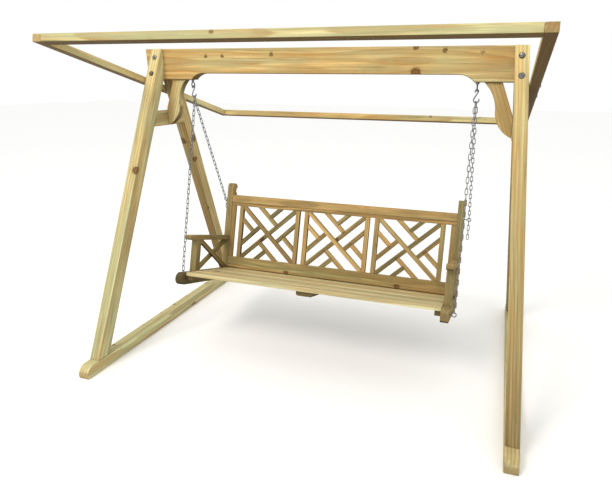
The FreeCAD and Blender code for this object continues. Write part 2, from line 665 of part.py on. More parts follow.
# seat: slats between the side frames, on a cleat at each end and a flat bearer in the middle
count = int(round(S.slat_count))
slat_wide = (S.seat_depth - S.slat_gap * count) / count
slats = []
for i in range(count):
    y0 = i * (slat_wide + S.slat_gap)
    y1 = y0 + slat_wide
    path = slab(y0, y1, -S.slat_thick, 0)
    if i == 0:
        off = S.slat_round * (1 - math.sqrt(0.5))
        path = [(y0, -S.slat_thick), (y1, -S.slat_thick), (y1, 0), (y0 + S.slat_round, 0),
                ((y0 + off, -off), (y0, -S.slat_round))]
    slats.append(board(f"seat_slat_{i + 1}", "YZ_Plane", path, "bench_inside", in_bench(0)))
group("seat_slats", slats)
under = -S.slat_thick
cleats = [board(f"seat_cleat_{word}", "YZ_Plane", slab(S.cleat_inset, back, under - S.cleat_high, under),
                "cleat_wide", in_bench(side * (S.bench_inside - S.cleat_wide) / 2)) for side, word in SIDES]
group("seat_cleats", cleats)
half, low, turn = S.bearer_wide / 2, under - S.bearer_thick, S.bearer_round
off = turn * (1 - math.sqrt(0.5))
bearer = [(-half, under), (-half, low + turn), ((-half + off, low + off), (-half + turn, low)),
          (half - turn, low), ((half - off, low + off), (half, low + turn)), (half, under)]
long = back + S.rail_thick - S.cleat_inset
node("seat_centre_bearer", board("seat_centre_bearer", "XZ_Plane", bearer, long,
                                 in_bench(0, S.cleat_inset + long / 2)))

# back: bottom rail, lattice between stiles, head strip and top rail
strip_low = S.rail_low + S.lattice_high
rail_low = strip_low + S.strip_high
lattice_face = back + S.back_inset
node("back_bottom_rail", board("back_bottom_rail", "YZ_Plane",
                               [(back + S.rail_arris, under), (back + S.rail_thick, under),
                                (back + S.rail_thick, S.rail_low), (back, S.rail_low), (back, S.rail_arris),
                                (back + S.rail_arris, 0)], "bench_inside", in_bench(0)))
node("back_head_strip", board("back_head_strip", "YZ_Plane",
                              slab(lattice_face, back + S.rail_thick, strip_low, rail_low),
                              "bench_inside", in_bench(0)))
node("back_top_rail", board("back_top_rail", "YZ_Plane",
                            slab(back, back + S.top_rail_deep, rail_low, rail_low + S.top_rail_high),
                            "bench_inside", in_bench(0)))
stiles = [board(f"end_stile_{word}", "YZ_Plane",
                slab(lattice_face, lattice_face + S.stile_thick, S.rail_low, strip_low),
                "stile_wide", in_bench(side * (S.bench_inside - S.stile_wide) / 2)) for side, word in SIDES]
group("back_end_stiles", stiles)

panel_wide = (S.bench_inside - 2 * S.stile_wide - 4 * S.panel_slit) / 3
clear_wide = panel_wide - 2 * S.stile_wide


def lattice_shape():
    """One lattice panel about its own middle: two stiles and the bars between them."""
    window = Part.makeBox(clear_wide, S.bar_thick, S.lattice_high, Vector(-clear_wide / 2, 0, 0))
    solids = [Part.makeBox(S.stile_wide, S.stile_thick, S.lattice_high, Vector(x, 0, 0))
              for x in (-panel_wide / 2, clear_wide / 2)]
    for (u0, v0), (u1, v1) in LATTICE:
        a = Vector((u0 - 0.5) * clear_wide, 0, (1 - v0) * S.lattice_high)
        b = Vector((u1 - 0.5) * clear_wide, 0, (1 - v1) * S.lattice_high)
        spare = [S.bar_wide * 2 if u in (0, 1) or v in (0, 1) else 0 for u, v in ((u0, v0), (u1, v1))]
        run = b - a
        bar = Part.makeBox(run.Length + sum(spare), S.bar_thick, S.bar_wide,
                           Vector(-spare[0], 0, -S.bar_wide / 2))
        bar.Placement = Placement(a, Rotation(Vector(0, 1, 0), -math.degrees(math.atan2(run.z, run.x))))
        solids.append(bar.common(window))
    return solids[0].multiFuse(solids[1:]).removeSplitter()


lattice = lattice_shape()
for i, word in ((-1, "left"), (0, "middle"), (1, "right")):
    panel = doc.addObject("Part::Feature", f"{word}_lattice_panel")
    panel.Shape = lattice
    panel.Placement = in_bench(i * (panel_wide + S.panel_slit), lattice_face, S.rail_low)
    node(f"{word}_lattice_panel", panel)


# bench eyes and chains

def link_shape(pitch):
    """One chain link about its middle, lying in the YZ plane with its length along Z."""
    wire = S.link_wire

    def bar(half_wide, half_long, corner):
        y, z = half_wide, half_long
        outline = Part.makePolygon([Vector(-wire / 2, *p) for p in (
            (-y, z - corner), (-y + corner, z), (y - corner, z), (y, z - corner), (y, -z + corner),
            (y - corner, -z), (-y + corner, -z), (-y, -z + corner), (-y, z - corner))])
        return Part.Face(outline).extrude(Vector(wire, 0, 0))
    inner, length = S.link_wide - 2 * wire, pitch + S.link_play
    window = Part.makeBox(wire, inner, length, Vector(-wire / 2, -inner / 2, -length / 2))
    return bar(S.link_wide / 2, length / 2 + wire, S.link_corner).cut(window)


def chain(name, start, finish, count=None):
    """Links from the top of the first link's opening to the bottom of the last one's."""
    run = finish - start
    if count is None:
        count = 2 * int(round((run.Length / S.link_pitch - 1) / 2)) + 1
    pitch = run.Length / count
    shape = link_shape(pitch)
    along = Rotation(Vector(0, 0, -1), run)
    links = []
    for i in range(count):
        link = shape.copy()
        link.Placement = Placement(start + run * ((i + 0.5) / count),
                                   along.multiply(Rotation(Vector(0, 0, 1), 90 * (i % 2))))
        links.append(link)
    piece = doc.addObject("Part::Feature", name)
    piece.Shape = Part.makeCompound(links)
    return node(name, piece)


link_set = S.link_gap + S.link_wire / 2
hook_inside = S.hook_bow - S.hook_wire / 2
hook_seat = hook_inside - math.sqrt(hook_inside ** 2 - (S.link_gap + S.link_wire) ** 2) + S.seat_play
ring_inside = S.ring_radius - S.ring_wire / 2
ring_seat = ring_inside - math.sqrt(ring_inside ** 2 - (S.link_wire / 2) ** 2) + S.seat_play
bench_eyes = {"seat": [], "back": []}
for side, word in SIDES:
    for where, end, shift in (("seat", "front", -1), ("back", "back", 1)):
        x = side * (hook_spread + shift * link_set)
        y, z = eye_places[where]
        centre = bench_place.multVec(Vector(x, y, z))
        hang = Vector(x, beam_y, bow_low - S.hook_bow)
        down = (centre - hang).normalize()
        start = hang - down * (S.hook_wire / 2 + hook_seat)
        finish = centre - down * (S.ring_radius - S.ring_wire / 2 - ring_seat)
        chain(f"{word}_{end}_chain", start, finish)

        name = f"{word}_{where}_eye"
        inner = side_outer - S.ring_grip
        shank = rod(name + "_shank", S.ring_wire, abs(x) - S.ring_radius - inner,
                    in_bench(side * inner, y, z, ALONG_X if side == RIGHT else BACK_X))
        out = Vector(side, 0, 0)
        ring_place = Placement(centre, Rotation(out, down.cross(out) * -1, down * -1, "XZY"))
        bench_eyes[where].append(eye(name, S.ring_radius, S.ring_wire, ring_place, shank))
        if where == "back":
            drop = Vector(0, 0, -1)
            top = centre + down * S.ring_radius - drop * (S.ring_wire / 2 + ring_seat)
            links = int(round(S.tail_links))
            chain(f"{word}_chain_tail", top, top + drop * (S.link_pitch * links), links)
group("seat_eye_bolts", bench_eyes["seat"])
group("back_eye_bolts", bench_eyes["back"])


# checks and files

doc.recompute()
for item in doc.Objects:
    if "Invalid" in item.State or "Error" in item.State:
        raise RuntimeError(f"{item.Label} failed: {item.State}")
for name, piece in nodes.items():
    if piece.Shape.isNull() or not piece.Shape.isValid() or not piece.Shape.Solids:
        raise RuntimeError(f"{name} has no valid solid")
os.makedirs("parts", exist_ok=True)
for name, piece in nodes.items():
    piece.Shape.exportStep(f"parts/{name}.step")
print(len(nodes), "nodes,", sum(len(p.Shape.Solids) for p in nodes.values()), "solids")
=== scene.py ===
"""Garden swing in treated softwood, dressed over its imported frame.

The standing frame is planed, pressure-treated pine, the bench is the same timber after some
seasons outdoors, and the bolts, hooks and chains are bright zinc-plated steel.
"""

from __future__ import annotations

import logging
import math
from dataclasses import dataclass, field, replace
from enum import Enum
from typing import Callable, Iterable, Sequence

import bmesh
import bpy
from mathutils import Matrix, Vector

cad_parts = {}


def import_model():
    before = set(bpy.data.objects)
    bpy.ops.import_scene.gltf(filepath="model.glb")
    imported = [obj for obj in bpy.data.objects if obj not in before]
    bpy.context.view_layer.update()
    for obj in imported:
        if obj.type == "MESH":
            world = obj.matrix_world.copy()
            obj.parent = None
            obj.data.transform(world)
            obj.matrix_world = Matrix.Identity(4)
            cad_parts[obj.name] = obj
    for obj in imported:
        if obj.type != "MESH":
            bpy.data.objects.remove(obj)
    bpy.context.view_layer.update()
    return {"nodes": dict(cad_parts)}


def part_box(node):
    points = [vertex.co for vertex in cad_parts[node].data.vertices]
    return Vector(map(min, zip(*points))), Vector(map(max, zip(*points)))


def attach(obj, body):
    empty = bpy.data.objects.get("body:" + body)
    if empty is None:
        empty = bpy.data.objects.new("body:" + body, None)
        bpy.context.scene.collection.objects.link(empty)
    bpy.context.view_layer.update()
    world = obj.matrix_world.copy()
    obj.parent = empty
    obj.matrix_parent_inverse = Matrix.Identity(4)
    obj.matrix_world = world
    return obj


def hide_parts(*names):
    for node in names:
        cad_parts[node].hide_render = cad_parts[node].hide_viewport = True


LOG = logging.getLogger("garden_swing")
MM = 0.001
MERGE = 0.01 * MM
ON_AXIS = 1e-7
PHOTO_WIDTH = 612
SIDES = ((1, "right"), (-1, "left"))
UP, BACK, RIGHT = Vector((0, 0, 1)), Vector((0, 1, 0)), Vector((1, 0, 0))

# a board's vertex numbers, middle, length direction, and its look as (seed, warmth, shade) at both ends
Board = tuple[Sequence[int], Vector, Vector, Vector, Vector]


class Body(Enum):
    """The two bodies that a piece can ride on."""

    FRAME = "frame"
    SWING = "swing"


class Slot(Enum):
    """The record's material slots."""

    FRAME_TIMBER = "frame_timber"
    BENCH_TIMBER = "bench_timber"
    ZINC_STEEL = "zinc_steel"


def linear(code: str) -> tuple[float, float, float, float]:
    """Turns an sRGB hex colour into linear light.

    Args:
        code: the colour as #rrggbb.

    Returns:
        Linear red, green and blue, and an alpha of one.
    """
    parts = [int(code[i:i + 2], 16) / 255.0 for i in (1, 3, 5)]
    return tuple(p / 12.92 if p <= 0.04045 else ((p + 0.055) / 1.055) ** 2.4 for p in parts) + (1.0,)


def add(tree: bpy.types.NodeTree, kind: str, inputs: dict | None = None,
        **settings: object) -> bpy.types.NodeOutputs:
    """Adds a node with its settings, values and links.

    Args:
        tree: the node tree that the node goes into.
        kind: the node's type.
        inputs: socket name or number, with a value or the output socket to link from.
        settings: the node's own properties.

    Returns:
        The new node's outputs.
    """
    node = tree.nodes.new(kind)
    for key, value in settings.items():
        setattr(node, key, value)
    for key, value in (inputs or {}).items():
        if isinstance(value, bpy.types.NodeSocket):
            tree.links.new(value, node.inputs[key])
        else:
            node.inputs[key].default_value = value
    return node.outputs


def empty_material(name: str) -> tuple[bpy.types.Material, bpy.types.NodeTree]:
    """Makes a material that has no nodes yet.

    Args:
        name: the material's name.

    Returns:
        The material and its node tree.
    """
    made = bpy.data.materials.new(name)
    made.use_nodes = True
    made.node_tree.nodes.clear()
    return made, made.node_tree


def finish_piece(piece: bpy.types.Object, body: Body,
                 nodes: Sequence[str] = ()) -> bpy.types.Object:
    """Makes a piece ride on its body and stand for its CAD nodes.

    Args:
        piece: the finished object, at the origin.
        body: the body that carries it.
        nodes: the CAD nodes that it stands for.

    Returns:
        The same piece.
    """
    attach(piece, body.value)
    if nodes:
        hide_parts(*nodes)
    LOG.info("%s: %d faces on %s", piece.name, len(piece.data.polygons), body.value)
    return piece


def mesh_object(name: str, bm: bmesh.types.BMesh, material: bpy.types.Material) -> bpy.types.Object:
    """Makes an object of a bmesh, with one material, and frees the bmesh.

    Args:
        name: the piece's name.
        bm: the finished geometry, in the frame's own metres.
        material: the material of all its faces.

    Returns:
        The new object, linked to the scene.
    """
    mesh = bpy.data.meshes.new(name)
    bm.to_mesh(mesh)
    bm.free()
    mesh.materials.append(material)
    piece = bpy.data.objects.new(name, mesh)
    bpy.context.scene.collection.objects.link(piece)
    return piece


def islands(bm: bmesh.types.BMesh) -> list[list[bmesh.types.BMVert]]:
    """Splits a mesh into its loose parts.

    Args:
        bm: the mesh, with its doubles merged.

    Returns:
        The vertices of each part, in a steady order.
    """
    bm.verts.index_update()
    seen: set[int] = set()
    found = []
    for first in bm.verts:
        if first.index in seen:
            continue
        seen.add(first.index)
        part, stack = [], [first]
        while stack:
            vert = stack.pop()
            part.append(vert)
            for edge in vert.link_edges:
                other = edge.other_vert(vert)
                if other.index not in seen:
                    seen.add(other.index)
                    stack.append(other)
        found.append(part)
    return sorted(found, key=lambda p: tuple(round(c, 4) for c in centre_of(v.co for v in p)))


def centre_of(points: Iterable[Vector]) -> Vector:
    """The middle of the box round some points."""
    low, high = box_of(points)
    return (low + high) / 2


def box_of(points: Iterable[Vector]) -> tuple[Vector, Vector]:
    """Finds the box round some points.

    Args:
        points: the points.

    Returns:
        Its lowest and its highest corner.
    """
    points = list(points)
    low, high = (Vector(pick(p[i] for p in points) for i in range(3)) for pick in (min, max))
    return low, high


def long_axis(points: Sequence[Vector]) -> Vector:
    """Finds the direction in which a board is longest.

    Args:
        points: the board's corners.

    Returns:
        A unit vector between the middles of its two far ends.
    """
    settling_rounds = 12
    middle = centre_of(points)
    far = max(points, key=lambda p: (p - middle).length)
    axis = (far - middle).normalized()
    for _ in range(settling_rounds):
        axis = sum(((p - middle) * ((p - middle).dot(axis)) for p in points), Vector()).normalized()
    return axis if axis[max(range(3), key=lambda i: abs(axis[i]))] > 0 else -axis


def chance(text: str, turn: int = 0) -> float:
    """Draws a steady number for a name, the same in every run.

    Args:
        text: the name.
        turn: which of the name's draws it is.

    Returns:
        A number from 0 to 1, from a hash of the name's letters.
    """
    start, prime, stride, steps = 2166136261, 16777619, 7919, 100003
    value = start + turn * stride
    for letter in text:
        value = ((value ^ ord(letter)) * prime) % 2 ** 32
    return (value >> 8) % steps / steps


def stamp_grain(mesh: bpy.types.Mesh, boards: Sequence[Board]) -> None:
    """Writes each board's own grain coordinates, length direction and look on its vertices.

    Args:
        mesh: the piece's mesh.
        boards: the boards in it.
    """
    steep = 0.7
    grain = mesh.attributes.new("grain", "FLOAT_VECTOR", "POINT")
    along = mesh.attributes.new("along", "FLOAT_VECTOR", "POINT")
    board = mesh.attributes.new("board", "FLOAT_VECTOR", "POINT")
    for numbers, middle, axis, near, far in boards:
        across = axis.cross(UP if abs(axis.z) < steep else BACK).normalized()
        through = axis.cross(across)
        half = max(abs((mesh.vertices[i].co - middle).dot(axis)) for i in numbers)
        for i in numbers:
            offset = mesh.vertices[i].co - middle
            grain.data[i].vector = (offset.dot(axis), offset.dot(across), offset.dot(through))
            along.data[i].vector = axis
            board.data[i].vector = near.lerp(far, 0.5 + 0.5 * offset.dot(axis) / half)


@dataclass(frozen=True)
class Pine:
    """Planed softwood: pale early wood with darker late-wood bands, red-brown knots and dull end grain.

    The colours are sRGB. The shares say how strongly a feature shows. The patterns are waves per metre along
    the grain and, twice, across it: the pith's wander, tints 45 mm wide, streaks 16 mm wide, and fibres 2 mm
    wide, which is far coarser than real ones, so that they show.
    """

    name: str
    green: str
    warm: str
    late: str
    stain: str
    knot: str
    knot_rim: str
    end: str
    # the dark brown of the painted shade on faces that look down
    painted_shade: str
    ring_mm: float
    knot_every_mm: float
    knot_mm: float
    knot_share: float
    band_share: float
    stain_share: float
    # how far faces that look down take the painted shade
    painted_shade_share: float
    roughness: float
    # how far faces turned to +X take the painted shade
    painted_right_shade_share: float = 0.0
    wander_per_m: tuple[float, float, float] = (0.8, 2.5, 2.5)
    tint_per_m: tuple[float, float, float] = (1.1, 22.0, 22.0)
    streak_per_m: tuple[float, float, float] = (2.4, 62.0, 62.0)
    fibre_per_m: tuple[float, float, float] = (5.0, 480.0, 480.0)
    stain_per_m: float = 5.0
    pith_mm: float = 60.0
    branch_radius_mm: float = 80.0
    knot_squash: float = 0.75
    knot_scatter: float = 0.62
    knot_wobble_mm: float = 10.0
    wobble_per_m: float = 60.0
    swerve_mm: float = 12.0
    relief_mm: float = 0.6
    gloss: float = 0.1

    def material(self) -> bpy.types.Material:
        """Builds the timber from the boards' grain attributes.

        Returns:
            The new material.
        """
        made, tree = empty_material(self.name)
        vector, maths, ramp, noise = ("ShaderNodeVectorMath", "ShaderNodeMath", "ShaderNodeMapRange",
                                      "ShaderNodeTexNoise")
        smooth = {"interpolation_type": "SMOOTHSTEP"}
        tint = {"data_type": "RGBA"}
        grain = add(tree, "ShaderNodeAttribute", attribute_name="grain")["Vector"]
        along = add(tree, "ShaderNodeAttribute", attribute_name="along")["Vector"]
        board = add(tree, "ShaderNodeAttribute", attribute_name="board")["Vector"]
        seed, warmth, shade = add(tree, "ShaderNodeSeparateXYZ", {0: board}).values()
        far = add(tree, vector, {0: seed, 1: (37.0, 11.0, 5.0)}, operation="MULTIPLY")[0]
        place = add(tree, vector, {0: grain, 1: far}, operation="ADD")[0]

        # the pith lies 60 to 120 mm behind the board's middle and wanders slowly along its length
        near = self.pith_mm * MM
        slow = add(tree, vector, {0: place, 1: self.wander_per_m}, operation="MULTIPLY")[0]
        wander = add(tree, noise, {"Vector": slow, "Scale": 1.0, "Detail": 2.0})["Color"]
        drift = add(tree, vector, {0: wander, 1: (0.0, near, near), 2: (0.0, near / 2, -near)},
                    operation="MULTIPLY_ADD")[0]
        luck = add(tree, "ShaderNodeTexWhiteNoise", {"W": seed}, noise_dimensions="1D")["Color"]
        pith = add(tree, vector, {0: luck, 1: (0.0, near, near), 2: drift}, operation="MULTIPLY_ADD")[0]
        spot = add(tree, vector, {0: grain, 1: pith}, operation="ADD")[0]
        run, side, deep = add(tree, "ShaderNodeSeparateXYZ", {0: spot}).values()
        flat = add(tree, vector, {0: spot, 1: (0.0, 1.0, 1.0)}, operation="MULTIPLY")[0]
        radius = add(tree, vector, {0: flat}, operation="LENGTH")["Value"]
        angle = add(tree, maths, {0: side, 1: deep}, operation="ARCTAN2")[0]

        # branches leave the pith at chance places, and where one meets a face it shows as a knot
        every, widest = self.knot_every_mm * MM, self.knot_mm * MM / 2
        usual, wobble = self.branch_radius_mm * MM, self.knot_wobble_mm * MM
        arc = add(tree, maths, {0: angle, 1: usual}, operation="MULTIPLY")[0]
        row = add(tree, maths, {0: seed, 1: 53.0, 2: run}, operation="MULTIPLY_ADD")[0]
        branch = add(tree, "ShaderNodeCombineXYZ", {0: row, 1: arc})[0]
        cells = add(tree, "ShaderNodeTexVoronoi", {"Vector": branch, "Scale": 1.0 / every,
                                                   "Randomness": self.knot_scatter}, voronoi_dimensions="2D")
        pick = add(tree, "ShaderNodeSeparateColor", {0: cells["Color"]})
        uneven = add(tree, noise, {"Vector": place, "Scale": self.wobble_per_m, "Detail": 2.0})["Fac"]
        gap = add(tree, vector, {0: branch, 1: cells["Position"]}, operation="SUBTRACT")[0]
        reach = add(tree, maths, {0: radius, 1: 1 / usual}, operation="MULTIPLY")[0]
        reach = add(tree, "ShaderNodeCombineXYZ", {0: self.knot_squash, 1: reach})[0]
        gap = add(tree, vector, {0: gap, 1: reach}, operation="MULTIPLY")[0]
        off = add(tree, vector, {0: gap}, operation="LENGTH")["Value"]
        off = add(tree, maths, {0: uneven, 1: wobble, 2: off}, operation="MULTIPLY_ADD")[0]
        off = add(tree, maths, {0: off, 1: wobble / 2}, operation="SUBTRACT")[0]
        size = add(tree, ramp, {"Value": pick[1], "To Min": 0.35 * widest, "To Max": widest})[0]
        ratio = add(tree, maths, {0: off, 1: size}, operation="DIVIDE")[0]
        has = add(tree, ramp, {"Value": pick[0], "From Min": self.knot_share + 0.01,
                               "From Max": self.knot_share - 0.01})[0]
        knot = add(tree, ramp, {"Value": ratio, "From Min": 1.2, "From Max": 0.6, "To Max": has}, **smooth)[0]
        rim = add(tree, ramp, {"Value": ratio, "From Min": 1.35, "From Max": 1.0, "To Max": has}, **smooth)[0]
        rim = add(tree, ramp, {"Value": ratio, "From Min": 0.55, "From Max": 0.95, "To Max": rim},
                  **smooth)[0]
        halo = add(tree, ramp, {"Value": ratio, "From Min": 2.1, "From Max": 0.6, "To Max": has}, **smooth)[0]

        # growth rings, drawn coarser than the 3 to 5 mm of real pine so that they show from three metres
        bent = add(tree, maths, {0: halo, 1: self.swerve_mm * MM, 2: radius}, operation="MULTIPLY_ADD")[0]
        phase = add(tree, maths, {0: bent, 1: self.ring_mm * MM}, operation="DIVIDE")[0]
        phase = add(tree, maths, {0: phase}, operation="FRACT")[0]
        ring = add(tree, ramp, {"Value": phase, "From Min": 1.0, "From Max": 0.9}, **smooth)[0]
        ring = add(tree, ramp, {"Value": phase, "From Min": 0.1, "From Max": 0.88, "To Max": ring},
                   **smooth)[0]
        broad = add(tree, vector, {0: place, 1: self.tint_per_m}, operation="MULTIPLY")[0]
        broad = add(tree, noise, {"Vector": broad, "Scale": 1.0, "Detail": 3.0, "Roughness": 0.55})["Fac"]
        streak = add(tree, vector, {0: place, 1: self.streak_per_m}, operation="MULTIPLY")[0]
        streak = add(tree, noise, {"Vector": streak, "Scale": 1.0, "Detail": 3.0, "Roughness": 0.6})["Fac"]
        fibre = add(tree, vector, {0: place, 1: self.fibre_per_m}, operation="MULTIPLY")[0]
        fibre = add(tree, noise, {"Vector": fibre, "Scale": 1.0, "Detail": 2.0})["Fac"]
        # each board's warmth, and its shade at its lower, left or front end and at the other: a brightness
        # factor that holds both the board's own tone and painted light and shade, such as legs lighter at the
        # top and darker at the foot
        patch = add(tree, noise, {"Vector": place, "Scale": self.stain_per_m, "Detail": 4.0,
                                  "Roughness": 0.6})["Fac"]

        # colour: sapwood that the treatment turned green, warmer heartwood, bands, fibres and stain
        lean = add(tree, maths, {0: broad, 1: 2.4, 2: warmth}, operation="MULTIPLY_ADD")[0]
        lean = add(tree, maths, {0: lean, 1: 1.2}, operation="SUBTRACT", use_clamp=True)[0]
        base = add(tree, "ShaderNodeMix", {0: lean, 6: linear(self.green), 7: linear(self.warm)}, **tint)[2]
        band = add(tree, ramp, {"Value": streak, "From Min": 0.32, "From Max": 0.66, "To Max": ring},
                   **smooth)[0]
        band = add(tree, maths, {0: band, 1: self.band_share}, operation="MULTIPLY")[0]
        base = add(tree, "ShaderNodeMix", {0: band, 6: base, 7: linear(self.late)}, **tint)[2]
        tone = add(tree, maths, {0: streak, 1: 2.0, 2: -0.23}, operation="MULTIPLY_ADD")[0]
        tone = add(tree, maths, {0: fibre, 1: 0.46, 2: tone}, operation="MULTIPLY_ADD")[0]
        base = add(tree, "ShaderNodeMix", {0: 1.0, 6: base, 7: tone}, blend_type="MULTIPLY", **tint)[2]
        spotty = add(tree, ramp, {"Value": patch, "From Min": 0.46, "From Max": 0.74,
                                  "To Max": self.stain_share}, **smooth)[0]
        base = add(tree, "ShaderNodeMix", {0: spotty, 6: base, 7: linear(self.stain)}, **tint)[2]

        # knots, with the redder wood round them and their dark bark ring
        around = add(tree, maths, {0: halo, 1: 0.45}, operation="MULTIPLY")[0]
        base = add(tree, "ShaderNodeMix", {0: around, 6: base, 7: linear(self.late)}, **tint)[2]
        core = add(tree, maths, {0: knot, 1: 0.8}, operation="MULTIPLY")[0]
        base = add(tree, "ShaderNodeMix", {0: core, 6: base, 7: linear(self.knot)}, **tint)[2]
        bark = add(tree, maths, {0: rim, 1: 0.7}, operation="MULTIPLY")[0]
        base = add(tree, "ShaderNodeMix", {0: bark, 6: base, 7: linear(self.knot_rim)}, **tint)[2]

        # sawn ends drink the weather; faces that look down, and faces turned to +X where a finish asks for
        # it, get painted shade, mixed towards a dark brown
        normal = add(tree, "ShaderNodeTexCoord")["Normal"]
        facing = add(tree, vector, {0: normal, 1: along}, operation="DOT_PRODUCT")["Value"]
        facing = add(tree, maths, {0: facing}, operation="ABSOLUTE")[0]
        butt = add(tree, ramp, {"Value": facing, "From Min": 0.84, "From Max": 0.97, "To Max": 0.65},
                   **smooth)[0]
        base = add(tree, "ShaderNodeMix", {0: butt, 6: base, 7: linear(self.end)}, **tint)[2]
        right, _, up = add(tree, "ShaderNodeSeparateXYZ", {0: normal}).values()
        painted_shade_mask = add(tree, ramp, {"Value": up, "From Min": 0.05, "From Max": -0.75,
                                 "To Max": self.painted_shade_share}, **smooth)[0]
        painted_right_shade = add(tree, ramp, {"Value": right, "From Min": 0.3, "From Max": 0.75, "To Max": self.painted_right_shade_share},
                  **smooth)[0]
        painted_shade_mask = add(tree, maths, {0: painted_shade_mask, 1: painted_right_shade}, operation="MAXIMUM")[0]
        base = add(tree, "ShaderNodeMix", {0: painted_shade_mask, 6: base, 7: linear(self.painted_shade)}, **tint)[2]
        base = add(tree, "ShaderNodeMix", {0: 1.0, 6: base, 7: shade}, blend_type="MULTIPLY", **tint)[2]

        rough = add(tree, maths, {0: fibre, 1: 0.16, 2: self.roughness - 0.08}, operation="MULTIPLY_ADD")[0]
        rough = add(tree, maths, {0: knot, 1: -0.12, 2: rough}, operation="MULTIPLY_ADD")[0]
        relief = add(tree, maths, {0: ring, 1: 0.8, 2: fibre}, operation="MULTIPLY_ADD")[0]
        bump = add(tree, "ShaderNodeBump", {"Height": relief, "Strength": 0.35,
                                            "Distance": self.relief_mm * MM})[0]
        shader = add(tree, "ShaderNodeBsdfPrincipled", {"Base Color": base, "Roughness": rough,
                                                        "Normal": bump, "Specular IOR Level": self.gloss})
        add(tree, "ShaderNodeOutputMaterial", {0: shader[0]})
        return made


@dataclass(frozen=True)
class Zinc:
    """Bright zinc plate on drawn steel: a clean cool grey metal, a little cloudy where it was barrelled."""

    name: str
    bright: str
    dull: str
    cloud_mm: float
    roughness: float
    patchy: float = 0.22
    relief_mm: float = 0.2

    def material(self) -> bpy.types.Material:
        """Builds the plated steel.

        Returns:
            The new material.
        """
        made, tree = empty_material(self.name)
        place = add(tree, "ShaderNodeTexCoord")["Object"]
        cloud = add(tree, "ShaderNodeTexNoise", {"Vector": place, "Scale": 1.0 / (self.cloud_mm * MM),
                                                 "Detail": 3.0})["Fac"]
        tint = add(tree, "ShaderNodeMix", {0: cloud, 6: linear(self.bright), 7: linear(self.dull)},
                   data_type="RGBA")[2]
        rough = add(tree, "ShaderNodeMath", {0: cloud, 1: self.patchy, 2: self.roughness - self.patchy / 2},
                    operation="MULTIPLY_ADD")[0]
        bump = add(tree, "ShaderNodeBump", {"Height": cloud, "Strength": 0.2,
                                            "Distance": self.relief_mm * MM})[0]
        shader = add(tree, "ShaderNodeBsdfPrincipled", {"Base Color": tint, "Metallic": 1.0,
                                                        "Roughness": rough, "Normal": bump})
        add(tree, "ShaderNodeOutputMaterial", {0: shader[0]})
        return made


# in each finish, the dark brown for faces that look down is painted shade, not a colour of the wood
# pressure-treated and planed, still fresh: pale green sapwood, warmer heartwood and hardly a gloss
FRAME_PINE = Pine("planed_treated_pine", green="#bab88a", warm="#ba9b62", late="#8a5f2d", stain="#a9a271",
                  knot="#6e4620", knot_rim="#3c2410", end="#8f744c", painted_shade="#49320e", ring_mm=17.0,
                  knot_every_mm=150.0, knot_mm=36.0, knot_share=0.66, band_share=0.8, stain_share=0.45,
                  painted_shade_share=0.92, roughness=0.62)
# the same pine after some seasons out of doors: browner, duller, and stained
BENCH_PINE = Pine("weathered_treated_pine", green="#8f865a", warm="#ab8a57", late="#5f4523", stain="#75694a",
                  knot="#5a3016", knot_rim="#351c0b", end="#6f5f40", painted_shade="#2a1b08", ring_mm=13.0,
                  knot_every_mm=190.0, knot_mm=26.0, knot_share=0.5, band_share=0.75, stain_share=0.55,
                  painted_shade_share=0.9, roughness=0.7)
# the back's thin bars, whose right-hand faces get painted shade, as if they lay away from the light
LATTICE_PINE = replace(BENCH_PINE, name="shaded_treated_pine", painted_right_shade_share=0.8)
# the seat, drawn paler than the rest of the bench
SEAT_PINE = Pine("pale_seat_pine", green="#c7c297", warm="#c3a976", late="#8d6c3e", stain="#b0a67c",
                 knot="#6f4020", knot_rim="#40240f", end="#867250", painted_shade="#38260c", ring_mm=13.0,
                 knot_every_mm=300.0, knot_mm=30.0, knot_share=0.4, band_share=0.75, stain_share=0.4,
                 painted_shade_share=0.9, roughness=0.7)
# zinc-plated steel with some wear: grey and bright, darker where the plate has dulled
ZINC = Zinc("bright_zinc_steel", bright="#a4a8ac", dull="#34373a", cloud_mm=6.0, roughness=0.26)


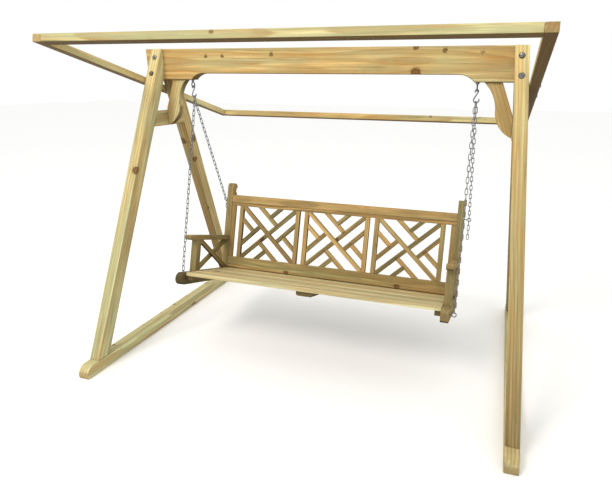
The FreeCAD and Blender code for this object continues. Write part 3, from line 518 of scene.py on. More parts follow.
@dataclass
class Timber:
    """Boards of one finish, taken from their CAD nodes, with their edges eased as planed timber has them."""

    material: bpy.types.Material
    body: Body
    slot: Slot
    easing_mm: float
    nodes: dict[str, bpy.types.Object]
    looks: dict[str, tuple[float, float, float]] = field(default_factory=dict)
    plain: tuple[float, float, float] = (0.5, 1.0, 1.0)
    spread: float = 0.12
    warmth_spread: float = 0.3
    corner_deg: float = 25.0
    flat_deg: float = 0.5
    outline_share: float = 0.6
    room_share: float = 2.5

    def outline_edges(self, bm: bmesh.types.BMesh) -> list[bmesh.types.BMEdge]:
        """Picks the long outer edges of the boards, and none round a bolt hole.

        Args:
            bm: the boards, with their flat faces joined.

        Returns:
            The edges to ease.
        """
        width = self.easing_mm * MM
        corner = math.radians(self.corner_deg)
        sharp = {e for e in bm.edges if e.is_manifold and e.calc_face_angle() > corner}
        picked = []
        sizes = {}
        for part in islands(bm):
            low, high = box_of(v.co for v in part)
            for vert in part:
                sizes[vert] = (high - low).length
        while sharp:
            stack = [sharp.pop()]
            group = set(stack)
            while stack:
                for vert in stack.pop().verts:
                    near = {e for e in vert.link_edges if e in sharp}
                    sharp -= near
                    group |= near
                    stack.extend(near)
            low, high = box_of(v.co for e in group for v in e.verts)
            if (high - low).length > self.outline_share * sizes[next(iter(group)).verts[0]]:
                picked += [e for e in group if e.is_convex and all(
                    f.calc_area() > self.room_share * width * max(x.calc_length() for x in f.edges)
                    for f in e.link_faces)]
        return picked

    def dress(self, node: str) -> bpy.types.Object:
        """Makes the piece that stands for one node of boards.

        Args:
            node: the CAD node.

        Returns:
            The finished piece.
        """
        bm = bmesh.new()
        bm.from_mesh(self.nodes[node].data)
        bmesh.ops.remove_doubles(bm, verts=bm.verts, dist=MERGE)
        bmesh.ops.dissolve_limit(bm, angle_limit=math.radians(self.flat_deg), verts=bm.verts, edges=bm.edges,
                                 delimit=set())
        edges = sorted(self.outline_edges(bm), key=lambda e: e.index)
        bmesh.ops.bevel(bm, geom=edges, offset=self.easing_mm * MM, offset_type="OFFSET", segments=2,
                        profile=0.5, affect="EDGES", clamp_overlap=False)
        bm.verts.index_update()
        warmth, *shades = self.looks.get(node, self.plain)
        boards = []
        for i, part in enumerate(islands(bm)):
            points = [v.co.copy() for v in part]
            tint = warmth + self.warmth_spread * (chance(node, i + 40) - 0.5)
            fade = 1 + self.spread * (chance(node, i + 80) - 0.5)
            ends = [Vector((chance(node, i), tint, shade * fade)) for shade in shades]
            boards.append(([v.index for v in part], centre_of(points), long_axis(points), *ends))
        piece = mesh_object(node + "_timber", bm, self.material)
        stamp_grain(piece.data, boards)
        return finish_piece(piece, self.body, [node])


@dataclass(frozen=True)
class Bench:
    """Set-out of the hung bench, for its lattice and for the screws in its slats and arms."""

    forward_mm: float = 362.0
    height_mm: float = 549.5
    tilt_deg: float = 17.1
    inside_mm: float = 1626.0
    depth_mm: float = 485.0
    slats: int = 6
    slat_gap_mm: float = 8.0
    cleat_mm: float = 38.0
    bearer_mm: float = 110.0
    arm_top_mm: float = 235.0
    arm_x_mm: float = 836.0
    slat_screws: tuple[float, float] = (0.28, 0.72)
    bearer_screws: float = 0.3
    arm_screws_mm: tuple = ((-8.0, 110.0), (8.0, 125.0), (0.0, 462.0))

    def place(self) -> Matrix:
        """The bench's own frame: along X, back along the seat, and square to the seat."""
        spot = Vector((0, -self.forward_mm, self.height_mm)) * MM
        return Matrix.Translation(spot) @ Matrix.Rotation(-math.radians(self.tilt_deg), 4, "X")

    def screws(self) -> list[tuple[Vector, Vector]]:
        """Sets out the screws in the slats and the arms.

        Returns:
            For each screw its place and the direction that its head faces.
        """
        place = self.place()
        up = place.to_3x3() @ UP
        pitch = self.depth_mm / self.slats
        wide = pitch - self.slat_gap_mm
        end, near = (self.inside_mm - self.cleat_mm) / 2, self.bearer_mm * self.bearer_screws
        spots = [(x, i * pitch + wide * share, 0.0) for i in range(self.slats)
                 for x in (-end, end, -near, near) for share in self.slat_screws]
        spots += [(sign * self.arm_x_mm + x, y, self.arm_top_mm) for sign in (-1, 1)
                  for x, y in self.arm_screws_mm]
        return [(place @ (Vector(spot) * MM), up) for spot in spots]


@dataclass
class LatticeBack:
    """Three lattice panels of butted bars between stiles, each bar a board of its own."""

    material: bpy.types.Material
    bench: Bench
    stile_mm: float = 31.0
    stile_thick_mm: float = 22.0
    bar_mm: float = 29.0
    bar_thick_mm: float = 18.0
    high_mm: float = 374.0
    easing_mm: float = 1.6
    spare_mm: float = 60.0
    recess_mm: float = 0.5
    recess_step_mm: float = 0.1
    stile_look: tuple[float, float] = (0.75, 1.34)
    falling_look: tuple[float, float] = (0.7, 1.32)
    rising_look: tuple[float, float] = (0.25, 0.88)
    warmth_spread: float = 0.4
    spread: float = 0.2
    bars: tuple = (
        ((0.00, 0.00), (1.00, 1.00)), ((0.00, 0.72), (0.35, 0.35)), ((1.00, 0.00), (0.50, 0.50)),
        ((0.00, 1.00), (0.50, 0.50)), ((1.00, 0.28), (0.65, 0.65)), ((0.00, 0.26), (0.23, 0.49)),
        ((0.33, 0.00), (0.665, 0.335)), ((0.335, 0.665), (0.67, 1.00)), ((0.77, 0.51), (1.00, 0.74)),
        ((0.70, 0.00), (0.515, 0.185)), ((0.30, 1.00), (0.485, 0.815)))

    def clipped(self, corners: list[Vector], half: float, high: float) -> list[Vector]:
        """Cuts a bar's outline to the panel's window.

        Args:
            corners: the outline, counter-clockwise, in the panel's plane.
            half: half the window's width.
            high: the window's height.

        Returns:
            The part of the outline inside the window.
        """
        for axis, limit, sign in ((0, half, 1), (0, -half, -1), (1, high, 1), (1, 0.0, -1)):
            kept = []
            for a, b in zip(corners, corners[1:] + corners[:1]):
                da, db = (limit - a[axis]) * sign, (limit - b[axis]) * sign
                if da >= 0:
                    kept.append(a)
                if (da < 0) != (db < 0):
                    kept.append(a.lerp(b, da / (da - db)))
            corners = kept
        return corners

    def prism(self, bm: bmesh.types.BMesh, corners: list[Vector], front: float,
              back: float) -> list[bmesh.types.BMVert]:
        """Adds one bar with eased edges.

        Args:
            bm: the panel's mesh.
            corners: the bar's outline in the panel's plane.
            front: depth of its front face.
            back: depth of its back face.

        Returns:
            The bar's vertices.
        """
        single = bmesh.new()
        rows = [[single.verts.new((c.x, d, c.y)) for c in corners] for d in (front, back)]
        single.faces.new(rows[0])
        single.faces.new(rows[1][::-1])
        for i in range(len(corners)):
            single.faces.new((rows[0][i - 1], rows[1][i - 1], rows[1][i], rows[0][i]))
        bmesh.ops.recalc_face_normals(single, faces=single.faces)
        bmesh.ops.bevel(single, geom=list(single.edges), offset=self.easing_mm * MM, segments=1,
                        affect="EDGES")
        mesh = bpy.data.meshes.new("bar")
        single.to_mesh(mesh)
        single.free()
        before = len(bm.verts)
        bm.from_mesh(mesh)
        bpy.data.meshes.remove(mesh)
        bm.verts.ensure_lookup_table()
        return bm.verts[before:]

    def build(self, word: str, panel_brightness: float) -> bpy.types.Object:
        """Builds one panel where its CAD node is.

        Args:
            word: which panel.
            panel_brightness: how light or dark the panel is drawn, as a share of the plain finish.

        Returns:
            The finished piece.
        """
        node = word + "_lattice_panel"
        low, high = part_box(node)
        tilt = math.radians(self.bench.tilt_deg)
        thick, bar_thick = self.stile_thick_mm * MM, self.bar_thick_mm * MM
        corner = Vector(((low.x + high.x) / 2, low.y, low.z + thick * math.sin(tilt)))
        place = Matrix.Translation(corner) @ Matrix.Rotation(-tilt, 4, "X")
        wide, tall = high.x - low.x, self.high_mm * MM
        half = wide / 2 - self.stile_mm * MM
        bm = bmesh.new()
        parts = []
        for sign in (-1, 1):
            x0, x1 = sorted((sign * half, sign * wide / 2))
            outline = [Vector((x0, 0)), Vector((x1, 0)), Vector((x1, tall)), Vector((x0, tall))]
            parts.append((self.prism(bm, outline, 0.0, thick), UP, *self.stile_look))
        for i, ((u0, v0), (u1, v1)) in enumerate(self.bars):
            a = Vector(((u0 - 0.5) * 2 * half, (1 - v0) * tall))
            b = Vector(((u1 - 0.5) * 2 * half, (1 - v1) * tall))
            way = (b - a).normalized()
            across = Vector((-way.y, way.x)) * self.bar_mm * MM / 2
            start, stop = (p + way * sign * (self.spare_mm * MM if {u, v} & {0.0, 1.0} else 0.0)
                           for p, sign, u, v in ((a, -1, u0, v0), (b, 1, u1, v1)))
            outline = self.clipped([start - across, stop - across, stop + across, start + across], half, tall)
            # each bar is set back a little differently, so that no two faces lie in one plane
            recess = (self.recess_mm + self.recess_step_mm * (i % 4)) * MM if i else 0.0
            look = self.falling_look if way.x * way.y < 0 else self.rising_look
            verts = self.prism(bm, outline, recess, bar_thick - recess)
            parts.append((verts, Vector((way.x, 0, way.y)), *look))
        bm.verts.index_update()
        turn = place.to_3x3()
        boards = []
        for i, (verts, axis, warm, shade) in enumerate(parts):
            middle = place @ centre_of([v.co for v in verts])
            tint = warm + self.warmth_spread * (chance(node, i + 30) - 0.5)
            fade = 1 + self.spread * (chance(node, i + 60) - 0.5)
            look = Vector((chance(node, i), tint, panel_brightness * shade * fade))
            boards.append(([v.index for v in verts], middle, turn @ axis, look, look))
        bm.transform(place)
        piece = mesh_object(word + "_lattice_timber", bm, self.material)
        stamp_grain(piece.data, boards)
        return finish_piece(piece, Body.SWING, [node])


def swept(bm: bmesh.types.BMesh, points: Sequence[Vector], radius: float, sides: int, closed: bool) -> None:
    """Adds round wire along a line of points.

    Args:
        bm: the mesh to add to.
        points: the wire's middle line.
        radius: the wire's radius.
        sides: how many faces go round it.
        closed: whether the line is a ring.
    """
    tip_share = 0.6
    count = len(points)
    rings = []
    normal = None
    for i, point in enumerate(points):
        ahead = points[(i + 1) % count] if closed or i < count - 1 else point
        behind = points[i - 1] if closed or i else point
        way = (ahead - behind).normalized()
        if normal is None:
            normal = way.orthogonal().normalized()
        normal = (normal - way * normal.dot(way)).normalized()
        other = way.cross(normal)
        rings.append([bm.verts.new(p) for p in circle(point, normal, other, radius, sides)])
    for a, b in zip(rings, rings[1:] + (rings[:1] if closed else [])):
        shift = 0
        if closed and b is rings[0]:
            shift = min(range(sides), key=lambda s: (a[0].co - b[s].co).length)
        for k in range(sides):
            face = bm.faces.new((a[k - 1], a[k], b[(k + shift) % sides], b[(k - 1 + shift) % sides]))
            face.smooth = True
    if not closed:
        for ring, end, near in ((rings[0], points[0], points[1]), (rings[-1], points[-1], points[-2])):
            tip = bm.verts.new(end + (end - near).normalized() * radius * tip_share)
            for k in range(sides):
                bm.faces.new((ring[k - 1], ring[k], tip)).smooth = True


def circle(centre: Vector, first: Vector, second: Vector, radius: float, steps: int) -> list[Vector]:
    """Points round a circle.

    Args:
        centre: its middle.
        first: the direction of the first point.
        second: the direction of a quarter turn.
        radius: its radius.
        steps: how many points it has.

    Returns:
        The points, once round.
    """
    return [centre + (first * math.cos(a) + second * math.sin(a)) * radius
            for a in (2 * math.pi * i / steps for i in range(steps))]


def turned(bm: bmesh.types.BMesh, profile: Sequence[tuple[float, float]], sides: int, place: Matrix) -> None:
    """Adds a turned shape.

    Args:
        bm: the mesh to add to.
        profile: (radius, height) pairs from one end of the axis, or round a hole, to the other.
        sides: how many faces go round it.
        place: where its axis, the local Z, goes.
    """
    first, second = (place.to_3x3() @ way for way in (RIGHT, BACK))
    rings = []
    for radius, height in profile:
        middle = place @ Vector((0, 0, height))
        spots = [middle] if radius < ON_AXIS else circle(middle, first, second, radius, sides)
        rings.append([bm.verts.new(p) for p in spots])
    loop = profile[0][0] > ON_AXIS
    for a, b in zip(rings, rings[1:] + (rings[:1] if loop else [])):
        for k in range(sides):
            corners = [a[(k - 1) % len(a)], a[k % len(a)], b[k % len(b)], b[(k - 1) % len(b)]]
            unique = list(dict.fromkeys(corners))
            if len(unique) > 2:
                bm.faces.new(unique)


def upright(axis: Vector, origin: Vector) -> Matrix:
    """A place whose local Z points along an axis."""
    return Matrix.Translation(origin) @ UP.rotation_difference(axis).to_matrix().to_4x4()


def set_out(points: Sequence[Vector],
            pick: Callable[..., int]) -> tuple[Vector, Vector, Vector, float, list[float]]:
    """Finds the axis of a bolt, nut or washer from its solid.

    Args:
        points: the solid's corners.
        pick: max where the solid is longest along its axis, min where it is shortest.

    Returns:
        Its middle, the direction of its axis, the size of its box, its length along the axis, and each
        corner's distance from the axis.
    """
    low, high = box_of(points)
    size, middle = high - low, (low + high) / 2
    axis = pick(range(3), key=lambda i: size[i])
    way = Vector(1.0 if i == axis else 0.0 for i in range(3))
    radial = [(p - middle - way * (p - middle).dot(way)).length for p in points]
    return middle, way, size, size[axis], radial


@dataclass
class Fastenings:
    """Bolts, nuts and washers in place of the flat-sided solids that hold their room in the CAD model."""

    material: bpy.types.Material
    nodes: dict[str, bpy.types.Object]
    sides: int = 28
    shank_sides: int = 16
    dome_steps: int = 7
    thread_mm: float = 1.5
    thread_show_mm: float = 14.0
    root_share: float = 0.88
    tip_share: float = 0.86
    nut_flats_mm: float = 17.0
    face_share: float = 0.47
    corner_share: float = 0.16
    washer_easing_mm: float = 0.3
    bed_mm: float = 0.5

    def parts_of(self, node: str) -> list[list[Vector]]:
        """Takes a node apart into its solids.

        Args:
            node: the CAD node.

        Returns:
            The corner points of each solid.
        """
        bm = bmesh.new()
        bm.from_mesh(self.nodes[node].data)
        bmesh.ops.remove_doubles(bm, verts=bm.verts, dist=MERGE)
        found = [[v.co.copy() for v in part] for part in islands(bm)]
        bm.free()
        return found

    def hexagon(self, bm: bmesh.types.BMesh, flats: float, high: float, bore: float, place: Matrix) -> None:
        """Adds a hexagon with turned-off corners, and a hole where it is a nut.

        Args:
            bm: the mesh to add to.
            flats: width across flats.
            high: height along local Z.
            bore: radius of its hole, or zero for a bolt's head.
            place: where its lower face's middle is.
        """
        corner, inset, cut = flats / math.sqrt(3), flats * self.face_share, high * self.corner_share
        first, second = (place.to_3x3() @ way for way in (RIGHT, BACK))

        def ring(radius: float, z: float) -> list[bmesh.types.BMVert]:
            """Adds six corners at one height."""
            return [bm.verts.new(p) for p in circle(place @ Vector((0, 0, z)), first, second, radius, 6)]

        rows = [ring(*row) for row in ((inset, 0.0), (corner, cut), (corner, high - cut), (inset, high))]
        bands = list(zip(rows, rows[1:]))
        if bore:
            holes = [ring(bore, z) for z in (0.0, high)]
            bands += [(holes[0], rows[0]), (rows[3], holes[1]), (holes[1], holes[0])]
        else:
            bm.faces.new(rows[0][::-1])
            bm.faces.new(rows[3])
        for a, b in bands:
            for k in range(6):
                bm.faces.new((a[k - 1], a[k], b[k], b[k - 1]))

    def thread(self, radius: float, start: float, end: float) -> list[tuple[float, float]]:
        """Draws the half outline of a threaded end.

        Args:
            radius: the thread's outer radius.
            start: the height where it begins.
            end: the height of its tip.

        Returns:
            Its ridges and furrows as (radius, height) pairs.
        """
        turns = max(1, int(abs(end - start) / (self.thread_mm * MM)))
        rows = []
        for i in range(turns):
            z = start + (end - start) * i / turns
            rows += [(radius * self.root_share, z), (radius, z + (end - start) / turns / 2)]
        return rows + [(radius * self.tip_share, end)]

    def close(self, name: str, bm: bmesh.types.BMesh, body: Body, nodes: Sequence[str]) -> bpy.types.Object:
        """Turns the faces outwards and finishes the piece.

        Args:
            name: the piece's name.
            bm: its geometry.
            body: the body that carries it.
            nodes: the CAD nodes that it stands for.

        Returns:
            The finished piece.
        """
        bmesh.ops.recalc_face_normals(bm, faces=bm.faces)
        piece = mesh_object(name, bm, self.material)
        return finish_piece(piece, body, nodes)

    def washers(self, node: str) -> bpy.types.Object:
        """Makes the round washers of one node.

        Args:
            node: the CAD node.

        Returns:
            The finished piece.
        """
        bm = bmesh.new()
        for points in self.parts_of(node):
            middle, way, size, thick, radial = set_out(points, min)
            inner, outer, t, e = min(radial), max(size) / 2, thick / 2, self.washer_easing_mm * MM
            profile = [(inner, -t), (outer - e, -t), (outer, -t + e),
                       (outer, t - e), (outer - e, t), (inner, t)]
            turned(bm, profile, self.sides, upright(way, middle))
        return self.close(node + "_round", bm, Body.FRAME, [node])

    def nuts(self, node: str) -> bpy.types.Object:
        """Makes the nuts of one node, whose holes fit close round their bolts.

        Args:
            node: the CAD node.

        Returns:
            The finished piece.
        """
        fit = 0.99
        bm = bmesh.new()
        for points in self.parts_of(node):
            middle, way, _, thick, radial = set_out(points, min)
            self.hexagon(bm, self.nut_flats_mm * MM, thick, min(radial) * fit,
                         upright(way, middle - way * thick / 2))
        return self.close(node + "_plated", bm, Body.FRAME, [node])

    def bolts(self, node: str, dia_mm: float, domed: bool) -> bpy.types.Object:
        """Makes the bolts of one node, with their heads on the wide ends of the solids.

        Args:
            node: the CAD node.
            dia_mm: the shank's diameter.
            domed: whether the heads are domed, or hexagons.

        Returns:
            The finished piece.
        """
        head_share = 0.95
        bm = bmesh.new()
        for points in self.parts_of(node):
            middle, way, _, _, radial = set_out(points, max)
            head = max(radial)
            if (points[radial.index(head)] - middle).dot(way) > 0:
                way = -way
            heights = [(p - middle).dot(way) for p in points]
            start, finish = min(heights), max(heights)
            seat = max(h for h, r in zip(heights, radial) if r > head_share * head)
            place = upright(way, middle)
            r, rise, bed = dia_mm * MM / 2, seat - start, seat - self.bed_mm * MM
            if domed:
                dome = [(head * math.sin(a), seat - rise * math.cos(a)) for a in
                        (math.pi / 2 * k / self.dome_steps for k in range(1, self.dome_steps + 1))]
                turned(bm, [(0.0, start), *dome, (r, seat), (0.0, seat)], self.sides, place)
            else:
                self.hexagon(bm, head * math.sqrt(3), rise, 0.0, place @ Matrix.Translation(UP * start))
            thread = self.thread(r, finish - self.thread_show_mm * MM, finish)
            turned(bm, [(0.0, bed), (r, bed), *thread, (0.0, finish)], self.shank_sides, place)
        return self.close(node + "_plated", bm, Body.FRAME, [node])


@dataclass
class HangingGear:
    """Eye bolts, S-hooks and chains that carry the bench."""

    material: bpy.types.Material
    fastenings: Fastenings
    eye_z_mm: float = 1688.5
    eye_mm: float = 15.0
    eye_wire_mm: float = 8.0
    bolt_mm: float = 10.0
    hook_wire_mm: float = 7.0
    hook_top_mm: float = 8.6
    hook_bow_mm: float = 14.0
    hook_long_mm: float = 46.0
    hook_tip_mm: float = 6.0
    seat_play_mm: float = 0.3
    spread_mm: float = 883.0
    ring_mm: float = 12.0
    ring_wire_mm: float = 6.0
    link_wire_mm: float = 5.0
    link_wide_mm: float = 20.0
    neck_mm: float = 3.0
    neck_share: float = 0.8
    low_thread_mm: tuple[float, float] = (4.0, 16.0)
    high_thread_mm: float = 30.0
    eye_steps: int = 32
    ring_steps: int = 28
    wire_sides: int = 12
    ring_sides: int = 10
    screw_sides: int = 14
    top_steps: int = 14
    bow_steps: int = 18
    link_steps: int = 12
    link_sides: int = 6
    cad_flats: int = 8

    def arc(self, centre: Vector, radius: float, start: float, stop: float, steps: int) -> list[Vector]:
        """Points along an arc in the XZ plane, angles in degrees."""
        return [centre + Vector((math.cos(a), 0, math.sin(a))) * radius for a in
                (math.radians(start + (stop - start) * i / steps) for i in range(steps + 1))]

    def beam_eye(self, side: int, word: str) -> bpy.types.Object:
        """Builds one eye bolt through the beam.

        Args:
            side: 1 for the right end, -1 for the left.
            word: the same in words.

        Returns:
            The finished piece.
        """
        bm = bmesh.new()
        centre = Vector((side * self.spread_mm, 0, self.eye_z_mm)) * MM
        swept(bm, circle(centre, BACK, UP, self.eye_mm * MM, self.eye_steps), self.eye_wire_mm * MM / 2,
              self.wire_sides, True)
        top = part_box(f"{word}_eye_bolt")[1].z
        start, r = centre.z + self.eye_mm * MM, self.bolt_mm * MM / 2
        profile = [(0.0, start), (r * self.neck_share, start), (r, start + self.neck_mm * MM)]
        profile += self.fastenings.thread(r, *(start + z * MM for z in self.low_thread_mm))
        profile += self.fastenings.thread(r, top - self.high_thread_mm * MM, top) + [(0.0, top)]
        turned(bm, profile, self.fastenings.shank_sides, Matrix.Translation(Vector((centre.x, centre.y, 0))))
        return self.fastenings.close(f"{word}_eye_bolt_plated", bm, Body.FRAME, [f"{word}_eye_bolt"])

    def hook(self, side: int, word: str) -> bpy.types.Object:
        """Builds one S-hook, a small bow over the eye and a wide one for the chains.

        Args:
            side: 1 for the right end, -1 for the left.
            word: the same in words.

        Returns:
            The finished piece.
        """
        top = self.eye_z_mm - self.eye_mm + self.eye_wire_mm / 2 + self.seat_play_mm
        top += self.hook_wire_mm / 2 - self.hook_top_mm
        slant = math.degrees(math.asin((self.hook_top_mm + self.hook_bow_mm) / self.hook_long_mm))
        upper = Vector((side * self.spread_mm, 0, top)) * MM
        lower = upper - Vector((0, 0, self.hook_long_mm * MM))
        line = [upper + Vector((-self.hook_top_mm, 0, -self.hook_tip_mm)) * MM]
        line += self.arc(upper, self.hook_top_mm * MM, 180, -slant, self.top_steps)
        line += self.arc(lower, self.hook_bow_mm * MM, 180 - slant, 360, self.bow_steps)
        line.append(lower + Vector((self.hook_bow_mm, 0, self.hook_tip_mm)) * MM)
        bm = bmesh.new()
        swept(bm, line, self.hook_wire_mm * MM / 2, self.wire_sides, False)
        return self.fastenings.close(f"{word}_hook_plated", bm, Body.SWING, [f"{word}_hook"])

    def bench_eyes(self, node: str) -> bpy.types.Object:
        """Builds the two screw eyes of one node, each turned to its chain as the CAD model has it.

        Args:
            node: the CAD node.

        Returns:
            The finished piece.
        """
        end_mm, reach_mm = 0.2, 2.0
        bm = bmesh.new()
        for points in self.fastenings.parts_of(node):
            side = 1 if sum(p.x for p in points) > 0 else -1
            inner = min(points, key=lambda p: p.x * side).x
            outer = max(points, key=lambda p: p.x * side).x
            shank = centre_of(p for p in points if abs(p.x - inner) < end_mm * MM)
            radius, r = self.ring_mm * MM, self.ring_wire_mm * MM / 2
            # the solid's flat-sided ring shows which way the eye is turned
            solid_x = outer - side * (radius / math.cos(math.pi / self.cad_flats) + r)
            far = [p - Vector((p.x, shank.y, shank.z)) for p in points
                   if (p.x - solid_x) * side > -reach_mm * MM]
            up = max(far, key=lambda p: p.length).normalized()
            centre = Vector((outer - side * (radius + r), shank.y, shank.z))
            swept(bm, circle(centre, RIGHT, up, radius, self.ring_steps), r, self.ring_sides, True)
            length = abs(centre.x - inner) - radius
            turned(bm, [(0.0, 0.0), (r, 0.0), (r, length), (0.0, length)], self.screw_sides,
                   upright(RIGHT * side, Vector((inner, shank.y, shank.z))))
        return self.fastenings.close(node + "_plated", bm, Body.SWING, [node])

    def link_tree(self) -> bpy.types.NodeTree:
        """Builds the node tree that strings bent-wire links along a straight run.

        Returns:
            The tree, with the run and the link's sizes as its inputs.
        """
        tree = bpy.data.node_groups.new("chain_run", "GeometryNodeTree")
        face = tree.interface
        face.new_socket("Geometry", in_out="OUTPUT", socket_type="NodeSocketGeometry")
        for name, kind in (("First", "Vector"), ("Last", "Vector"), ("Count", "Int"), ("Turn", "Rotation"),
                           ("Half straight", "Float"), ("Bow radius", "Float"), ("Wire radius", "Float"),
                           ("Material", "Material")):
            face.new_socket(name, in_out="INPUT", socket_type="NodeSocket" + kind)
        given = add(tree, "NodeGroupInput")
        bow = add(tree, "GeometryNodeCurvePrimitiveCircle", {"Resolution": self.link_steps,
                                                             "Radius": given["Bow radius"]})
        spot = add(tree, "ShaderNodeSeparateXYZ", {0: add(tree, "GeometryNodeInputPosition")[0]})
        side = add(tree, "ShaderNodeMath", {0: spot[1]}, operation="SIGN")[0]
        pull = add(tree, "ShaderNodeMath", {0: side, 1: given["Half straight"]}, operation="MULTIPLY")[0]
        offset = add(tree, "ShaderNodeCombineXYZ", {1: pull})[0]
        oval = add(tree, "GeometryNodeSetPosition", {"Geometry": bow[0], "Offset": offset})[0]
        stand = add(tree, "GeometryNodeTransform", {"Geometry": oval,
                                                    "Rotation": (math.pi / 2, 0.0, math.pi / 2)})
        section = add(tree, "GeometryNodeCurvePrimitiveCircle", {"Resolution": self.link_sides,
                                                                 "Radius": given["Wire radius"]})
        link = add(tree, "GeometryNodeCurveToMesh", {0: stand[0], 1: section[0]})
        run = add(tree, "GeometryNodeMeshLine", {"Count": given["Count"], "Start Location": given["First"],
                                                 "Offset": given["Last"]}, mode="END_POINTS")
        odd = add(tree, "ShaderNodeMath", {0: add(tree, "GeometryNodeInputIndex")[0], 1: 2.0},
                  operation="MODULO")[0]
        quarter = add(tree, "ShaderNodeMath", {0: odd, 1: math.pi / 2}, operation="MULTIPLY")[0]
        twist = add(tree, "ShaderNodeCombineXYZ", {2: quarter})[0]
        twist = add(tree, "FunctionNodeEulerToRotation", {0: twist})[0]
        turn = add(tree, "FunctionNodeRotateRotation", {0: given["Turn"], 1: twist}, rotation_space="LOCAL")
        strung = add(tree, "GeometryNodeInstanceOnPoints", {"Points": run[0], "Instance": link[0],
                                                            "Rotation": turn[0]})
        real = add(tree, "GeometryNodeRealizeInstances", {0: strung[0]})
        smooth = add(tree, "GeometryNodeSetShadeSmooth", {0: real[0]})
        dressed = add(tree, "GeometryNodeSetMaterial", {0: smooth[0], "Material": given["Material"]})
        add(tree, "NodeGroupOutput", {0: dressed[0]})
        return tree

    def chain(self, tree: bpy.types.NodeTree, node: str) -> bpy.types.Object:
        """Strings one chain where its CAD links are.

        Args:
            tree: the tree of link_tree.
            node: the chain's CAD node.

        Returns:
            The finished piece.
        """
        middles = sorted((centre_of(p) for p in self.fastenings.parts_of(node)), key=lambda c: -c.z)
        run = middles[-1] - middles[0]
        pitch = run.length / (len(middles) - 1)
        turn = (-UP).rotation_difference(run)
        bow = (self.link_wide_mm - self.link_wire_mm) * MM / 2
        values = {"First": middles[0], "Last": middles[-1], "Count": len(middles), "Turn": turn.to_euler(),
                  "Half straight": (pitch + self.link_wire_mm * MM) / 2 - bow, "Bow radius": bow,
                  "Wire radius": self.link_wire_mm * MM / 2, "Material": self.material}
        return run_tree(node + "_links", tree, values, Body.SWING, [node])


def run_tree(name: str, tree: bpy.types.NodeTree, values: dict, body: Body,
             nodes: Sequence[str] = (), source: bpy.types.Mesh | None = None) -> bpy.types.Object:
    """Runs a Geometry Nodes tree once and keeps its result as a plain mesh.

    Args:
        name: the piece's name.
        tree: the node tree.
        values: input name, with its value.
        body: the body that carries the piece.
        nodes: the CAD nodes that the piece stands for.
        source: a mesh for the tree's own geometry input, if it has one.

    Returns:
        The finished piece.
    """
    maker = bpy.data.objects.new(name + "_maker", source or bpy.data.meshes.new(name + "_maker"))
    bpy.context.scene.collection.objects.link(maker)
    modifier = maker.modifiers.new("build", "NODES")
    modifier.node_group = tree
    for item in tree.interface.items_tree:
        if item.in_out == "INPUT" and item.name in values:
            modifier[item.identifier] = values[item.name]
    bpy.context.view_layer.update()
    graph = bpy.context.evaluated_depsgraph_get()
    mesh = bpy.data.meshes.new_from_object(maker.evaluated_get(graph), depsgraph=graph)
    mesh.name = name
    maker.modifiers.remove(modifier)
    bpy.data.objects.remove(maker)
    piece = bpy.data.objects.new(name, mesh)
    bpy.context.scene.collection.objects.link(piece)
    return finish_piece(piece, body, nodes)


@dataclass
class WoodScrews:
    """Countersunk wood screws, their heads flush with the timber and their drive sunk in."""

    material: bpy.types.Material
    head_mm: float = 9.0
    proud_mm: float = 0.3
    drive_mm: float = 4.0
    drive_deep_mm: float = 1.2
    sides: int = 12

    def tree(self) -> bpy.types.NodeTree:
        """Builds the node tree that sets a screw head on each point, along the point's own direction.

        Returns:
            The tree, with the head's sizes as its inputs.
        """
        tree = bpy.data.node_groups.new("screw_heads", "GeometryNodeTree")
        face = tree.interface
        face.new_socket("Geometry", in_out="OUTPUT", socket_type="NodeSocketGeometry")
        for name, kind in (("Points", "Geometry"), ("Head radius", "Float"), ("Drive share", "Float"),
                           ("Drive depth", "Float"), ("Material", "Material")):
            face.new_socket(name, in_out="INPUT", socket_type="NodeSocket" + kind)
        given = add(tree, "NodeGroupInput")
        disc = add(tree, "GeometryNodeMeshCircle", {"Vertices": self.sides, "Radius": given["Head radius"]},
                   fill_type="NGON")
        inset = add(tree, "GeometryNodeExtrudeMesh", {"Mesh": disc[0], "Offset Scale": 0.0}, mode="FACES")
        scaled = add(tree, "GeometryNodeScaleElements", {"Geometry": inset[0], "Selection": inset[1],
                                                         "Scale": given["Drive share"]})
        sunk = add(tree, "GeometryNodeExtrudeMesh", {"Mesh": scaled[0], "Selection": inset[1],
                                                     "Offset Scale": given["Drive depth"]}, mode="FACES")
        way = add(tree, "GeometryNodeInputNamedAttribute", {"Name": "way"}, data_type="FLOAT_VECTOR")[0]
        turn = add(tree, "FunctionNodeAlignRotationToVector", {"Vector": way}, axis="Z")
        heads = add(tree, "GeometryNodeInstanceOnPoints", {"Points": given["Points"], "Instance": sunk[0],
                                                           "Rotation": turn[0]})
        real = add(tree, "GeometryNodeRealizeInstances", {0: heads[0]})
        dressed = add(tree, "GeometryNodeSetMaterial", {0: real[0], "Material": given["Material"]})
        add(tree, "NodeGroupOutput", {0: dressed[0]})
        return tree

    def build(self, name: str, tree: bpy.types.NodeTree, spots: Sequence[tuple[Vector, Vector]],
              body: Body) -> bpy.types.Object:
        """Sets the screws of one body.

        Args:
            name: the piece's name.
            tree: the tree of this class.
            spots: for each screw its place on the timber and the direction that its head faces.
            body: the body that carries them.

        Returns:
            The finished piece.
        """
        mesh = bpy.data.meshes.new(name + "_points")
        mesh.from_pydata([p + w.normalized() * self.proud_mm * MM for p, w in spots], [], [])
        way = mesh.attributes.new("way", "FLOAT_VECTOR", "POINT")
        for i, (_point, direction) in enumerate(spots):
            way.data[i].vector = direction
        values = {"Head radius": self.head_mm * MM / 2, "Drive share": self.drive_mm / self.head_mm,
                  "Drive depth": -self.drive_deep_mm * MM, "Material": self.material}
        return run_tree(name, tree, values, body, source=mesh)


